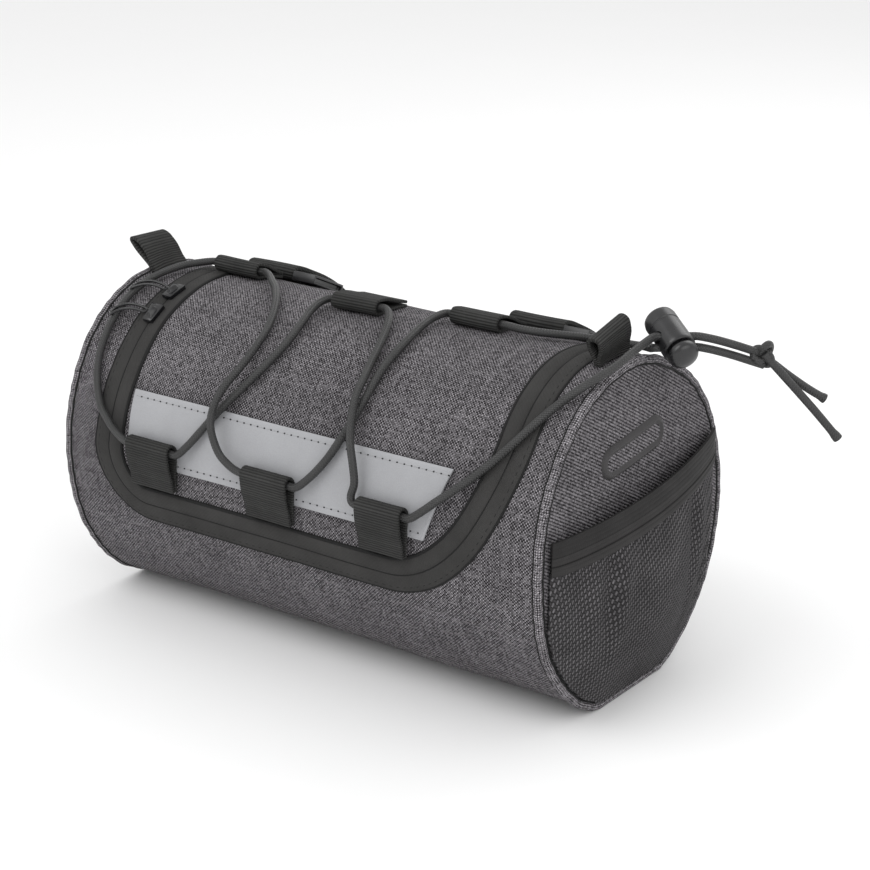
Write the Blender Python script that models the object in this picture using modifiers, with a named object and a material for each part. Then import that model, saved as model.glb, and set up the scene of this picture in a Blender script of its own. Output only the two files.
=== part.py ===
"""Bicycle handlebar bag: a soft barrel with a zipped lid, cord lacing, straps and a net end pocket.

Metres, +Z up. X runs along the barrel, with the net pocket at +X. -Y is the front, and z = 0 is
the flattened underside that the bag rests on. Angles round the barrel are in degrees from the top
towards the front, and a lift is a height above the outer face of the barrel's cloth.
"""

import math

import bmesh
import bpy
from mathutils import Vector

# Barrel
BODY_RADIUS = 0.0650
SEAM_HALF_LENGTH = 0.1133      # middle of the barrel to the middle of each end's piping
AXIS_HEIGHT = 0.0632           # less than the radius, so that the underside is flat
BODY_WALL = 0.0020
GAP = 0.0003                   # between cloth pieces that touch

# Section of the barrel: share of BODY_RADIUS at angles from the top towards the front
SECTION_COLUMNS = ("angle", "share")
SECTION = (
    (0, 1.030), (30, 1.045), (60, 1.000), (90, 0.962), (120, 0.984), (150, 1.012),
    (180, 1.010), (210, 1.015), (240, 1.000), (270, 0.970), (300, 0.965), (330, 0.985),
)

# Ends and piping
PIPING_RADIUS = 0.0016
PIPING_PROUD = 0.0010
PANEL_WALL = 0.0020
PANEL_DOME = 0.0030
PANEL_EDGE_INSET = 0.0006      # the panel's outer edge, outwards from the middle of the piping

# Lid
HINGE_ANGLE = -30.0
LID_BOTTOM_ANGLE = 94.0
LID_LEFT_MARGIN = 0.0293       # from each end seam to the lid's edge
LID_RIGHT_MARGIN = 0.0253
LID_LEFT = LID_LEFT_MARGIN - SEAM_HALF_LENGTH
LID_RIGHT = SEAM_HALF_LENGTH - LID_RIGHT_MARGIN
LID_WALL = 0.0020
LEFT_CORNER_WIDTH = 0.0130
LEFT_CORNER_HEIGHT = 0.0150
RIGHT_CORNER_WIDTH = 0.0400
RIGHT_CORNER_HEIGHT = 0.0530
CORNER_FULLNESS = 1.8          # 2 is an ellipse, less is a flatter corner
LEFT_WAIST = 0.0035
RIGHT_WAIST = 0.0015

# Zip tapes
TAPE_WIDTH = 0.0067
TAPE_WALL = 0.0010
TAPE_LIFT = 0.0004

# Reflective strip
STRIP_TOP_ANGLE = 59.5
STRIP_BOTTOM_ANGLE = 84.5
STRIP_LEFT_MARGIN = 0.0040     # from the lid's edges to the strip's ends
STRIP_RIGHT_TOP_MARGIN = 0.0140
STRIP_RIGHT_BOTTOM_MARGIN = 0.0230
STRIP_LEFT = LID_LEFT + STRIP_LEFT_MARGIN
STRIP_RIGHT_TOP = LID_RIGHT - STRIP_RIGHT_TOP_MARGIN
STRIP_RIGHT_BOTTOM = LID_RIGHT - STRIP_RIGHT_BOTTOM_MARGIN
STRIP_WALL = 0.0010

# Cord and its webbing loops
CORD_RADIUS = 0.0015
CORD_CLEARANCE = 0.0006
CORD_DROP = 0.0004             # taken off the lift of every chosen point of the laced cord
CORD_STRAIGHT = 0.0025         # straight cord on both sides of each end of a loop
WEBBING_WALL = 0.0012
BOTTOM_LOOP_CHANNEL = 77.5
BOTTOM_LOOP_END = 91.5
LOOP_COLUMNS = ("name", "left", "right", "channel_angle", "sewn_angle", "base_lift")
LOOPS = (
    ("cord_loop_bottom_1", LID_LEFT + 0.0090, LID_LEFT + 0.0310, BOTTOM_LOOP_CHANNEL, BOTTOM_LOOP_END,
     STRIP_WALL + GAP),
    ("cord_loop_bottom_2", -0.0160, 0.0060, BOTTOM_LOOP_CHANNEL, BOTTOM_LOOP_END, STRIP_WALL + GAP),
    ("cord_loop_bottom_3", LID_RIGHT - 0.0495, LID_RIGHT - 0.0295, BOTTOM_LOOP_CHANNEL, BOTTOM_LOOP_END,
     STRIP_WALL + GAP),
    ("cord_loop_top_1", LID_LEFT - 0.0030, LID_LEFT + 0.0190, -1.5, -13.5, TAPE_LIFT),
    ("cord_loop_top_2", -0.0155, 0.0060, 9.0, -5.0, 0.0),
    ("cord_loop_top_3", LID_RIGHT - 0.0535, LID_RIGHT - 0.0320, 2.0, -12.0, 0.0),
)

# Shoulder strap loops at both ends of the top
SHOULDER_COLUMNS = ("name", "base_x", "lean", "front_y", "back_y", "height")
SHOULDER_LOOPS = (
    ("shoulder_loop_left", 0.0053 - SEAM_HALF_LENGTH, -0.0115, -0.0145, 0.0095, 0.0140),
    ("shoulder_loop_right", SEAM_HALF_LENGTH - 0.0068, -0.0045, -0.0145, 0.0095, 0.0130),
)
SHOULDER_LEAN_CURVE = 1.1      # 1 leans in a straight line, more bends towards the fold
SHOULDER_WALL = 0.0014
SHOULDER_EYE = 0.0016          # inner radius of the fold at the top

# Handlebar straps on the back, each with its plastic buckle
STRAP_COLUMNS = ("side", "middle_x")
STRAPS = (("left", LID_LEFT + 0.0080), ("right", LID_RIGHT - 0.0320))
STRAP_WIDTH = 0.0250
STRAP_WALL = 0.0016
STRAP_TOP_ANGLE = -20.0
STRAP_LOW_ANGLE = -112.0
STRAP_EYE = 0.0120             # room for the handlebar at the middle of the loop
STRAP_END_EYE = 0.0034         # room at the folded ends of the loop
STRAP_SAG = 1.6                # above 1, the loop hangs fullest below its middle
BUCKLE_WIDTH = 0.0115
BUCKLE_LENGTH = 0.0200
BUCKLE_WALL = 0.0048
BUCKLE_ANGLE = -25.0

# Zip sliders at the left end of the zip
SLIDER_COLUMNS = ("name", "angle")
SLIDERS = (("zipper_slider_1", 22.0), ("zipper_slider_2", 33.0))
SLIDER_LENGTH = 0.0085
SLIDER_WIDTH = 0.0065
SLIDER_HEIGHT = 0.0034
PULL_LENGTH = 0.0150
PULL_TILT = 20.0               # the pulls rise over the cord beside the zip
PULL_WIDTH = 0.0040
PULL_WALL = 0.0012

# Net pocket on the right end
POCKET_FRONT_INSET = 0.0075    # from the barrel's round to the pocket's ends
POCKET_BACK_INSET = 0.0120
POCKET_FRONT_Y = POCKET_FRONT_INSET - BODY_RADIUS
POCKET_BACK_Y = BODY_RADIUS - POCKET_BACK_INSET
POCKET_FRONT_Z = 0.0155        # top edge of the pocket above the barrel's axis, at the front
POCKET_BACK_Z = 0.0270
POCKET_DIP = 0.0008
POCKET_STAND_OFF = 0.0060      # how far the middle of the top edge stands off the end panel
POCKET_BELLY = 0.0065
POCKET_WALL = 0.0010
BINDING_HEIGHT = 0.0120
BINDING_WALL = 0.0014

# Oblong patch on the right end
PATCH_LENGTH = 0.0420
PATCH_HEIGHT = 0.0125
PATCH_WALL = 0.0010
PATCH_Y = -0.0052
PATCH_Z = 0.0358
PATCH_SLANT = 7.0

# Cord lock
LOCK_INSET = 0.0003            # far end of the lock's barrel, inwards from the end seam
LOCK_BACK = 0.0140
LOCK_RISE = 0.0142             # above the round of the bag
LOCK_END = (SEAM_HALF_LENGTH - LOCK_INSET, LOCK_BACK, BODY_RADIUS + LOCK_RISE)
LOCK_DIRECTION = (0.792, -0.476, -0.383)
LOCK_RADIUS = 0.0062
LOCK_LENGTH = 0.0190
LOCK_HOLE_SHARE = 0.75         # where along the barrel the cords pass
LOCK_HOLE_WIDTH = 0.0036
LOCK_HOLE_HEIGHT = 0.0080
BUTTON_RADIUS = 0.0056
BUTTON_LENGTH = 0.0055
CORD_DIRECTION = (0.750, 0.661, 0.0)
CORD_SPACING = 0.0040          # between the middles of the two cords in the lock

# Laced cord: chosen points from the lock, through the six loops, and back to the lock
ROUTE_COLUMNS = ("x", "angle", "lift")
STRAND_TO_BOTTOM_3 = (
    (0.1178, 2.5, 0.0076), (0.1172, 8.5, 0.0062), (0.1160, 14.0, 0.0050), (0.1137, 20.3, 0.0042),
    (0.1100, 26.6, 0.0036), (0.1060, 32.5, 0.0033), (0.1016, 39.0, 0.0030), (0.0970, 46.0, 0.0030),
    (0.0918, 52.6, 0.0031), (0.0858, 58.8, 0.0033), (0.0790, 64.8, 0.0038), (0.0715, 70.3, 0.0044),
    (0.0660, 74.4, 0.0049),
)
BOTTOM_3_TO_TOP_2 = (
    (0.0346, 75.4, 0.0053), (0.0356, 71.2, 0.0056), (0.0343, 66.0, 0.0066), (0.0318, 60.5, 0.0074),
    (0.0291, 54.7, 0.0070),
    (0.0268, 47.0, 0.0064), (0.0252, 40.0, 0.0046), (0.0232, 33.5, 0.0032), (0.0212, 27.0, 0.0028),
    (0.0175, 18.5, 0.0029), (0.0130, 12.2, 0.0033),
)
TOP_2_TO_BOTTOM_1 = (
    (-0.0200, 12.6, 0.0037), (-0.0196, 18.0, 0.0032), (-0.0178, 27.0, 0.0028), (-0.0182, 35.0, 0.0028),
    (-0.0222, 43.7, 0.0028), (-0.0292, 53.2, 0.0029), (-0.0350, 61.0, 0.0037), (-0.0412, 68.5, 0.0040),
    (-0.0458, 73.6, 0.0046),
)
BOTTOM_1_TO_TOP_1 = (
    (-0.0835, 75.6, 0.0046), (-0.0890, 72.6, 0.0038), (-0.0958, 66.7, 0.0031), (-0.1012, 55.6, 0.0029),
    (-0.1036, 43.4, 0.0029), (-0.1042, 30.2, 0.0029), (-0.1026, 18.4, 0.0030), (-0.0990, 8.0, 0.0033),
    (-0.0945, 1.8, 0.0037),
)
TOP_1_TO_BOTTOM_2 = (
    (-0.0575, 1.0, 0.0038), (-0.0515, 5.4, 0.0033), (-0.0450, 10.2, 0.0029), (-0.0372, 18.3, 0.0028),
    (-0.0312, 28.0, 0.0028), (-0.0300, 37.0, 0.0030), (-0.0308, 45.0, 0.0044), (-0.0325, 52.0, 0.0068),
    (-0.0338, 58.6, 0.0080), (-0.0332, 65.5, 0.0079), (-0.0292, 72.5, 0.0064), (-0.0238, 76.2, 0.0054),
)
BOTTOM_2_TO_TOP_3 = (
    (0.0120, 75.4, 0.0049), (0.0168, 70.8, 0.0042), (0.0215, 65.0, 0.0040), (0.0248, 58.5, 0.0038),
    (0.0270, 51.5, 0.0031), (0.0286, 44.1, 0.0028), (0.0292, 35.0, 0.0028), (0.0298, 25.0, 0.0028),
    (0.0296, 15.0, 0.0029), (0.0292, 8.5, 0.0032), (0.0302, 4.0, 0.0038),
)
TOP_3_TO_LOCK = (
    (0.0635, 1.6, 0.0035), (0.0700, 0.0, 0.0031), (0.0775, -3.5, 0.0029), (0.0850, -7.6, 0.0029),
    (0.0930, -10.6, 0.0030), (0.1010, -12.2, 0.0032), (0.1075, -11.8, 0.0034), (0.1128, -8.6, 0.0035),
    (0.1155, -4.6, 0.0042),
)

# Free tail beyond the lock: chosen points along the cord and below the lock's hole
TAIL_LENGTH = 0.0214           # from the lock to the knot
TAIL_SAG = 0.0055
KNOT_LENGTH = 0.0090
KNOT_HEIGHT = 0.0112
END_COLUMNS = ("name", "side", "along_and_drops")
FREE_ENDS = (
    ("cord_end_1", 0.0019, ((0.0, 0.0), (0.0066, 0.0052), (0.0136, 0.0102), (0.0200, 0.0142))),
    ("cord_end_2", -0.0016, ((0.0, 0.0), (0.0083, 0.0092), (0.0166, 0.0186), (0.0248, 0.0284))),
)
TIP_RADIUS = 0.0021

# Fineness of the faceted solids
ROUND_STEPS = 36
ROW_ANGLE = 8.0
CORD_STEP = 3.0                # most cord diameters between points
CORD_TURN = 17.0               # most degrees of bend between points

# Colours: (red, green, blue), roughness
FINISHES = {
    "heather_cloth": ((0.085, 0.082, 0.088), 0.90),
    "zip_tape": ((0.045, 0.044, 0.046), 0.80),
    "reflective": ((0.42, 0.43, 0.44), 0.45),
    "webbing": ((0.030, 0.030, 0.032), 0.85),
    "braided_cord": ((0.035, 0.035, 0.036), 0.75),
    "net": ((0.040, 0.039, 0.041), 0.90),
    "elastic_binding": ((0.038, 0.036, 0.036), 0.85),
    "rubber_patch": ((0.060, 0.057, 0.058), 0.60),
    "plastic": ((0.030, 0.030, 0.031), 0.35),
    "black_metal": ((0.012, 0.012, 0.013), 0.25),
}


# Scene

def clear_scene():
    for item in list(bpy.data.objects):
        bpy.data.objects.remove(item, do_unlink=True)


def collection(name):
    made = bpy.data.collections.new(name)
    bpy.context.scene.collection.children.link(made)
    return made


def finish_material(name):
    material = bpy.data.materials.new(name)
    material.use_nodes = True
    colour, roughness = FINISHES[name.rsplit("__", 1)[-1]]
    shader = material.node_tree.nodes["Principled BSDF"]
    shader.inputs["Base Color"].default_value = (*colour, 1.0)
    shader.inputs["Roughness"].default_value = roughness
    shader.inputs["Metallic"].default_value = 0.9 if name.endswith("black_metal") else 0.0
    return material


def add_object(name, mesh, finish):
    item = bpy.data.objects.new(name, mesh)
    BAG.objects.link(item)
    item.data.materials.append(finish_material(name + "__" + finish))
    return item


# Tables and the section of the barrel

def named(columns, row):
    """A table's row with its columns' names."""
    return dict(zip(columns, row))


def spline(before, start, end, after, share):
    """Catmull-Rom value between start and end."""
    return 0.5 * (2 * start + (end - before) * share
                  + (2 * before - 5 * start + 4 * end - after) * share ** 2
                  + (3 * start - before - 3 * end + after) * share ** 3)


def section_radius(angle):
    step = SECTION[1][SECTION_COLUMNS.index("angle")] - SECTION[0][SECTION_COLUMNS.index("angle")]
    place = (angle % 360.0) / step
    first = int(place) % len(SECTION)
    shares = [SECTION[(first + k) % len(SECTION)][SECTION_COLUMNS.index("share")] for k in (-1, 0, 1, 2)]
    return BODY_RADIUS * spline(*shares, place - int(place))


def on_barrel(x, angle, lift=0.0):
    """Point at a lift above the barrel's cloth. The underside is pressed flat where it rests."""
    turn = math.radians(angle)
    radius = section_radius(angle) + lift
    height = AXIS_HEIGHT + radius * math.cos(turn)
    return Vector((x, -radius * math.sin(turn), max(height, lift if lift > 0 else 0.0)))


def arc_angle(length):
    """Degrees round the barrel that a length along its cloth covers."""
    return math.degrees(length / BODY_RADIUS)


# Sheets

def sheet(name, finish, columns, rows, place, wall, grow=-1.0, centre=None, leave_out=None):
    """A grid placed point by point, with holes where leave_out says, then given its wall."""
    bm = bmesh.new()
    bmesh.ops.create_grid(bm, x_segments=columns, y_segments=rows, size=1.0)
    for vert in bm.verts:
        column = round((vert.co.x + 1.0) / 2.0 * columns)
        row = round((vert.co.y + 1.0) / 2.0 * rows)
        vert.co = place(column, row)
        vert.index = row * (columns + 1) + column
    if leave_out:
        cut = []
        for face in bm.faces:
            lowest = min(vert.index for vert in face.verts)
            if leave_out(lowest % (columns + 1), lowest // (columns + 1)):
                cut.append(face)
        bmesh.ops.delete(bm, geom=cut, context="FACES")
    bmesh.ops.remove_doubles(bm, verts=bm.verts, dist=1e-6)
    bm.normal_update()
    bmesh.ops.recalc_face_normals(bm, faces=bm.faces)
    bm.faces.ensure_lookup_table()
    probe = max(bm.faces, key=lambda face: face.calc_area())
    middle = probe.calc_center_median()
    origin = centre if centre is not None else Vector((middle.x, 0.0, AXIS_HEIGHT))
    if probe.normal.dot(middle - origin) < 0:
        bmesh.ops.reverse_faces(bm, faces=bm.faces)
    mesh = bpy.data.meshes.new(name)
    bm.to_mesh(mesh)
    bm.free()
    item = add_object(name, mesh, finish)
    solidify = item.modifiers.new("Wall", "SOLIDIFY")
    solidify.thickness = wall
    solidify.offset = grow
    solidify.use_even_offset = True
    mesh.shade_smooth()
    return item


def tube(name, finish, points, radius, closed=False):
    curve = bpy.data.curves.new(name, "CURVE")
    curve.dimensions = "3D"
    curve.bevel_depth = radius
    curve.bevel_resolution = 2
    curve.use_fill_caps = not closed
    line = curve.splines.new("POLY")
    line.points.add(len(points) - 1)
    for point, place in zip(line.points, points):
        point.co = (*place, 1.0)
    line.use_cyclic_u = closed
    return add_object(name, curve, finish)


# Lid outline, in x and length round the barrel, shared by the lid, the tapes and the body's opening

def lid_bottom():
    return math.radians(LID_BOTTOM_ANGLE) * BODY_RADIUS


def hinge_line():
    return math.radians(HINGE_ANGLE) * BODY_RADIUS


SIDE_ROWS = 12
CORNER_ROWS = 8
LID_ROWS = SIDE_ROWS + CORNER_ROWS


def outline_side(side, row, outset):
    """Point on the lid's outline, outset outwards: x and length round the barrel."""
    left = side < 0
    edge = (LID_LEFT if left else LID_RIGHT) + side * outset
    width = (LEFT_CORNER_WIDTH if left else RIGHT_CORNER_WIDTH) + outset
    height = (LEFT_CORNER_HEIGHT if left else RIGHT_CORNER_HEIGHT) + outset
    waist = LEFT_WAIST if left else RIGHT_WAIST
    corner_start = lid_bottom() + outset - height
    if row <= SIDE_ROWS:
        share = row / SIDE_ROWS
        length = hinge_line() + (corner_start - hinge_line()) * share
        return edge - side * waist * math.sin(math.pi * share), length
    turn = math.pi / 2 * (row - SIDE_ROWS) / CORNER_ROWS
    across = max(math.cos(turn), 0.0) ** (2 / CORNER_FULLNESS)
    down = math.sin(turn) ** (2 / CORNER_FULLNESS)
    return edge - side * width * (1 - across), corner_start + height * down


def outline_point(index, bottom_columns, outset):
    """Point number index round the U of the outline, from the hinge's left to its right."""
    if index <= LID_ROWS:
        return outline_side(-1, index, outset)
    if index >= LID_ROWS + bottom_columns:
        return outline_side(1, 2 * LID_ROWS + bottom_columns - index, outset)
    left, length = outline_side(-1, LID_ROWS, outset)
    right = outline_side(1, LID_ROWS, outset)[0]
    return left + (right - left) * (index - LID_ROWS) / bottom_columns, length


def wrapped(x, length, lift=0.0):
    return on_barrel(x, math.degrees(length / BODY_RADIUS), lift)


# Body, ends and piping

def body_wrap():
    """The barrel's cloth: a sheet right round, with the lid's opening left out of its rows."""
    outset = 2 * TAPE_WIDTH + 3 * GAP
    margin = 2
    middle = 3
    columns = 2 * margin + middle
    end = SEAM_HALF_LENGTH - PIPING_RADIUS - GAP
    bottom = math.degrees(outline_side(1, LID_ROWS, outset)[1] / BODY_RADIUS)
    back = 360.0 + math.degrees((hinge_line() - 2 * GAP) / BODY_RADIUS)
    back_rows = math.ceil((back - bottom) / ROW_ANGLE)

    def place(column, row):
        lid_row = min(row, LID_ROWS)
        if row > LID_ROWS:
            share = (row - LID_ROWS) / back_rows
            angle = bottom + (back - bottom) * share
            blend = min(1.0, share * 3)
            first = outline_side(-1, LID_ROWS, outset)[0]
            last = outline_side(1, LID_ROWS, outset)[0]
            first += (outline_side(-1, 0, outset)[0] - first) * blend
            last += (outline_side(1, 0, outset)[0] - last) * blend
            angles = (angle, angle)
        else:
            first, left_length = outline_side(-1, lid_row, outset)
            last, right_length = outline_side(1, lid_row, outset)
            if row == 0:
                left_length = right_length = hinge_line() - 2 * GAP
            angles = (math.degrees(left_length / BODY_RADIUS), math.degrees(right_length / BODY_RADIUS))
        if column <= margin:
            return on_barrel(-end + (first + end) * column / margin, angles[0])
        if column >= margin + middle:
            return on_barrel(last + (end - last) * (column - margin - middle) / margin, angles[1])
        return on_barrel(first + (last - first) * (column - margin) / middle, angles[0])

    def opening(column, row):
        return row < LID_ROWS and margin <= column < margin + middle

    return sheet("body_wrap", "heather_cloth", columns, LID_ROWS + back_rows, place, BODY_WALL,
                 leave_out=opening)


def piping_middle(angle, side):
    """Middle of the piping: it stands proud of the cloth, and lies level with it underneath."""
    point = on_barrel(side * SEAM_HALF_LENGTH, angle, PIPING_PROUD - PIPING_RADIUS)
    point.z = max(point.z, PIPING_RADIUS)
    return point


def piping(name, side):
    angles = [360.0 * step / ROUND_STEPS for step in range(ROUND_STEPS)]
    tube(name, "heather_cloth", [piping_middle(angle, side) for angle in angles], PIPING_RADIUS,
         closed=True)


def panel_edge(angle):
    """Edge of the end panel: y and z inside the piping."""
    middle = piping_middle(angle, 1)
    inwards = Vector((0.0, 0.0, AXIS_HEIGHT)) - Vector((0.0, middle.y, middle.z))
    edge = Vector((0.0, middle.y, middle.z)) + inwards.normalized() * (PIPING_RADIUS + GAP)
    return edge.y, edge.z


def panel_face(y, z):
    """How far the end panel's outer face lies from the middle of the bag, at y and z."""
    share = min(1.0, math.hypot(y, z - AXIS_HEIGHT) / BODY_RADIUS)
    return SEAM_HALF_LENGTH + PANEL_EDGE_INSET + PANEL_DOME * (1 - share ** 2)


def end_panel(name, side):
    rings = 4

    def place(column, row):
        edge_y, edge_z = panel_edge(360.0 * column / ROUND_STEPS)
        share = row / rings
        y = edge_y * share
        z = AXIS_HEIGHT + (edge_z - AXIS_HEIGHT) * share
        return Vector((side * panel_face(y, z), y, z))

    sheet(name, "heather_cloth", ROUND_STEPS, rings, place, PANEL_WALL,
          centre=Vector((0.0, 0.0, AXIS_HEIGHT)))


# Lid, tapes and strip

def lid_panel():
    columns = 8

    def place(column, row):
        left, left_length = outline_side(-1, row, 0.0)
        right, right_length = outline_side(1, row, 0.0)
        share = column / columns
        return wrapped(left + (right - left) * share, left_length + (right_length - left_length) * share)

    sheet("lid_panel", "heather_cloth", columns, LID_ROWS, place, LID_WALL)


def zip_tape(name, inner):
    bottom_columns = 6
    columns = 2 * LID_ROWS + bottom_columns

    def place(column, row):
        x, length = outline_point(column, bottom_columns, inner + TAPE_WIDTH * row)
        return wrapped(x, length, TAPE_LIFT)

    sheet(name, "zip_tape", columns, 1, place, TAPE_WALL)


def reflective_strip():
    columns = 12
    rows = 4

    def place(column, row):
        down = row / rows
        right = STRIP_RIGHT_TOP + (STRIP_RIGHT_BOTTOM - STRIP_RIGHT_TOP) * down
        angle = STRIP_TOP_ANGLE + (STRIP_BOTTOM_ANGLE - STRIP_TOP_ANGLE) * down
        return on_barrel(STRIP_LEFT + (right - STRIP_LEFT) * column / columns, angle, GAP)

    sheet("reflective_strip", "reflective", columns, rows, place, STRIP_WALL, grow=1.0)


# Webbing loops

def cord_loop(name, left, right, channel_angle, sewn_angle, base_lift):
    """A folded webbing: an inner leg, a fold round the cord and an outer leg down to the seam."""
    eye = CORD_RADIUS + CORD_CLEARANCE + WEBBING_WALL / 2
    inner_lift = base_lift + GAP + WEBBING_WALL / 2
    middle_lift = inner_lift + eye
    outwards = 1.0 if sewn_angle > channel_angle else -1.0
    leg = abs(sewn_angle - channel_angle) * math.radians(1.0) * BODY_RADIUS
    seam_lift = inner_lift + WEBBING_WALL + GAP
    path = [(leg * share, inner_lift) for share in (1.0, 0.66, 0.33, 0.0)]
    for step in range(1, 6):
        turn = math.pi * step / 6
        path.append((-eye * math.sin(turn), middle_lift - eye * math.cos(turn)))
    path += [(0.0, middle_lift + eye), (leg * 0.35, middle_lift + eye * 0.55),
             (leg * 0.72, seam_lift + eye * 0.25), (leg, seam_lift)]

    def place(column, row):
        along, lift = path[row]
        angle = channel_angle + outwards * arc_angle(along)
        return on_barrel(left + (right - left) * column, angle, lift)

    sheet(name, "webbing", 1, len(path) - 1, place, WEBBING_WALL, grow=0.0)


def shoulder_loop(name, base_x, lean, front_y, back_y, height):
    """A webbing folded over at the top, both legs sewn down on the end seam."""
    eye = SHOULDER_EYE + SHOULDER_WALL / 2
    foot = (SHOULDER_WALL + GAP) / 2
    path = [(-foot, 0.0), (-foot, 0.25), (-eye, 0.6)]
    path += [(-eye * math.cos(turn), 0.85 + 0.15 * math.sin(turn))
             for turn in (math.pi * step / 6 for step in range(7))]
    path += [(eye, 0.6), (foot, 0.25), (foot, 0.0)]
    across = 4

    def place(column, row):
        y = front_y + (back_y - front_y) * column / across
        aside, share = path[row]
        angle = math.degrees(math.atan2(-y, BODY_RADIUS))
        crown = on_barrel(base_x, angle).z + GAP + SHOULDER_WALL / 4
        return Vector((base_x + aside + lean * share ** SHOULDER_LEAN_CURVE, y, crown + height * share))

    sheet(name, "webbing", across, len(path) - 1, place, SHOULDER_WALL, grow=0.0)


def handlebar_strap(side, middle_x):
    """A closed webbing loop on the back, open from side to side for the handlebar."""
    steps = 12
    inner = TAPE_LIFT + GAP + STRAP_WALL / 2
    span = STRAP_LOW_ANGLE - STRAP_TOP_ANGLE
    path = [(STRAP_TOP_ANGLE + span * step / steps, inner) for step in range(steps + 1)]
    bulge = STRAP_EYE - STRAP_END_EYE
    for step in range(steps, -1, -1):
        share = step / steps
        lift = inner + STRAP_WALL + STRAP_END_EYE + bulge * math.sin(math.pi * share ** STRAP_SAG) ** 0.8
        path.append((STRAP_TOP_ANGLE + span * share, lift))
    half = (STRAP_END_EYE + STRAP_WALL) / 2
    path.insert(steps + 1, (STRAP_LOW_ANGLE - arc_angle(half), inner + half))
    path.append((STRAP_TOP_ANGLE + arc_angle(half), inner + half))

    def place(column, row):
        angle, lift = path[row % len(path)]
        return on_barrel(middle_x + STRAP_WIDTH * (column - 0.5), angle, lift)

    sheet("handlebar_strap_" + side, "webbing", 1, len(path), place, STRAP_WALL, grow=0.0,
          centre=on_barrel(middle_x, STRAP_TOP_ANGLE + span / 2, STRAP_EYE / 2))


def strap_buckle(side, middle_x):
    """A plastic buckle beside the strap, seated on the barrel's cloth."""
    half = BUCKLE_LENGTH / 2
    left = middle_x + STRAP_WIDTH / 2 + GAP
    rows = 4

    def place(column, row):
        angle = BUCKLE_ANGLE + arc_angle(half) * (1 - 2 * row / rows)
        return on_barrel(left + BUCKLE_WIDTH * column, angle, TAPE_LIFT + GAP)

    item = sheet("strap_buckle_" + side, "plastic", 1, rows, place, BUCKLE_WALL, grow=1.0)
    bevel = item.modifiers.new("Edges", "BEVEL")
    bevel.width = 0.0010
    bevel.segments = 2
    bevel.limit_method = "ANGLE"


# Net pocket

def pocket_rim(y):
    """Height of the end panel's lower edge at y."""
    low, high = (90.0, 180.0) if y < 0 else (180.0, 270.0)
    for step in range(30):
        middle = (low + high) / 2
        if panel_edge(middle)[0] < y:
            low = middle
        else:
            high = middle
    return panel_edge(low)[1]


def pocket_point(share, drop, depth=None):
    """Point of the pocket, from front to back by share, and a drop or a share of its depth down."""
    y = POCKET_FRONT_Y + (POCKET_BACK_Y - POCKET_FRONT_Y) * share
    top = AXIS_HEIGHT + POCKET_FRONT_Z + (POCKET_BACK_Z - POCKET_FRONT_Z) * share
    top -= POCKET_DIP * math.sin(math.pi * share)
    rim = pocket_rim(y) + 2 * GAP
    if depth is not None:
        drop = drop + (top - drop - rim) * depth
    down = min(1.0, drop / (top - rim))
    across = math.sin(math.pi * share) ** 0.6
    off = POCKET_STAND_OFF * (1 - down) ** 1.4 + POCKET_BELLY * math.sin(math.pi * down) ** 0.9
    return Vector((panel_face(y, top - drop) + GAP + across * off, y, top - drop))


def pocket_mesh():
    columns = 16
    rows = 8

    def place(column, row):
        return pocket_point(column / columns, BINDING_HEIGHT + GAP, row / rows)

    sheet("pocket_mesh", "net", columns, rows, place, POCKET_WALL, grow=1.0,
          centre=Vector((0.0, 0.0, AXIS_HEIGHT)))


def pocket_binding():
    columns = 16
    rows = 2

    def place(column, row):
        return pocket_point(column / columns, BINDING_HEIGHT * row / rows)

    sheet("pocket_binding", "elastic_binding", columns, rows, place, BINDING_WALL, grow=1.0,
          centre=Vector((0.0, 0.0, AXIS_HEIGHT)))


def end_patch():
    """A plain oblong with round ends, laid on the domed end panel."""
    columns = 12
    rows = 2
    slant = math.radians(PATCH_SLANT)
    half = PATCH_HEIGHT / 2

    def place(column, row):
        turn = math.pi * column / columns
        along = -math.cos(turn) * PATCH_LENGTH / 2
        inside = max(0.0, abs(along) - (PATCH_LENGTH / 2 - half))
        tall = math.sqrt(max(0.0, half ** 2 - inside ** 2)) + half * 0.08
        up = tall * (1 - 2 * row / rows)
        y = PATCH_Y + along * math.cos(slant) - up * math.sin(slant)
        z = AXIS_HEIGHT + PATCH_Z + along * math.sin(slant) + up * math.cos(slant)
        return Vector((panel_face(y, z) + GAP, y, z))

    sheet("end_patch", "rubber_patch", columns, rows, place, PATCH_WALL, grow=1.0,
          centre=Vector((0.0, 0.0, AXIS_HEIGHT)))


# Zip sliders

def slider_frame(angle):
    """Place and axes of a slider on the left zip: along the zip, towards the left, outwards."""
    length = math.radians(angle) * BODY_RADIUS
    row = 0
    while outline_side(-1, row, TAPE_WIDTH)[1] < length:
        row += 1
    x = outline_side(-1, row, TAPE_WIDTH)[0]
    place = on_barrel(x, angle, TAPE_LIFT + GAP)
    ahead = on_barrel(x, angle + 1.0, TAPE_LIFT + GAP)
    along = (ahead - place).normalized()
    left = Vector((-1.0, 0.0, 0.0))
    return place, along, left, along.cross(left).normalized() * -1.0


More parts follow.
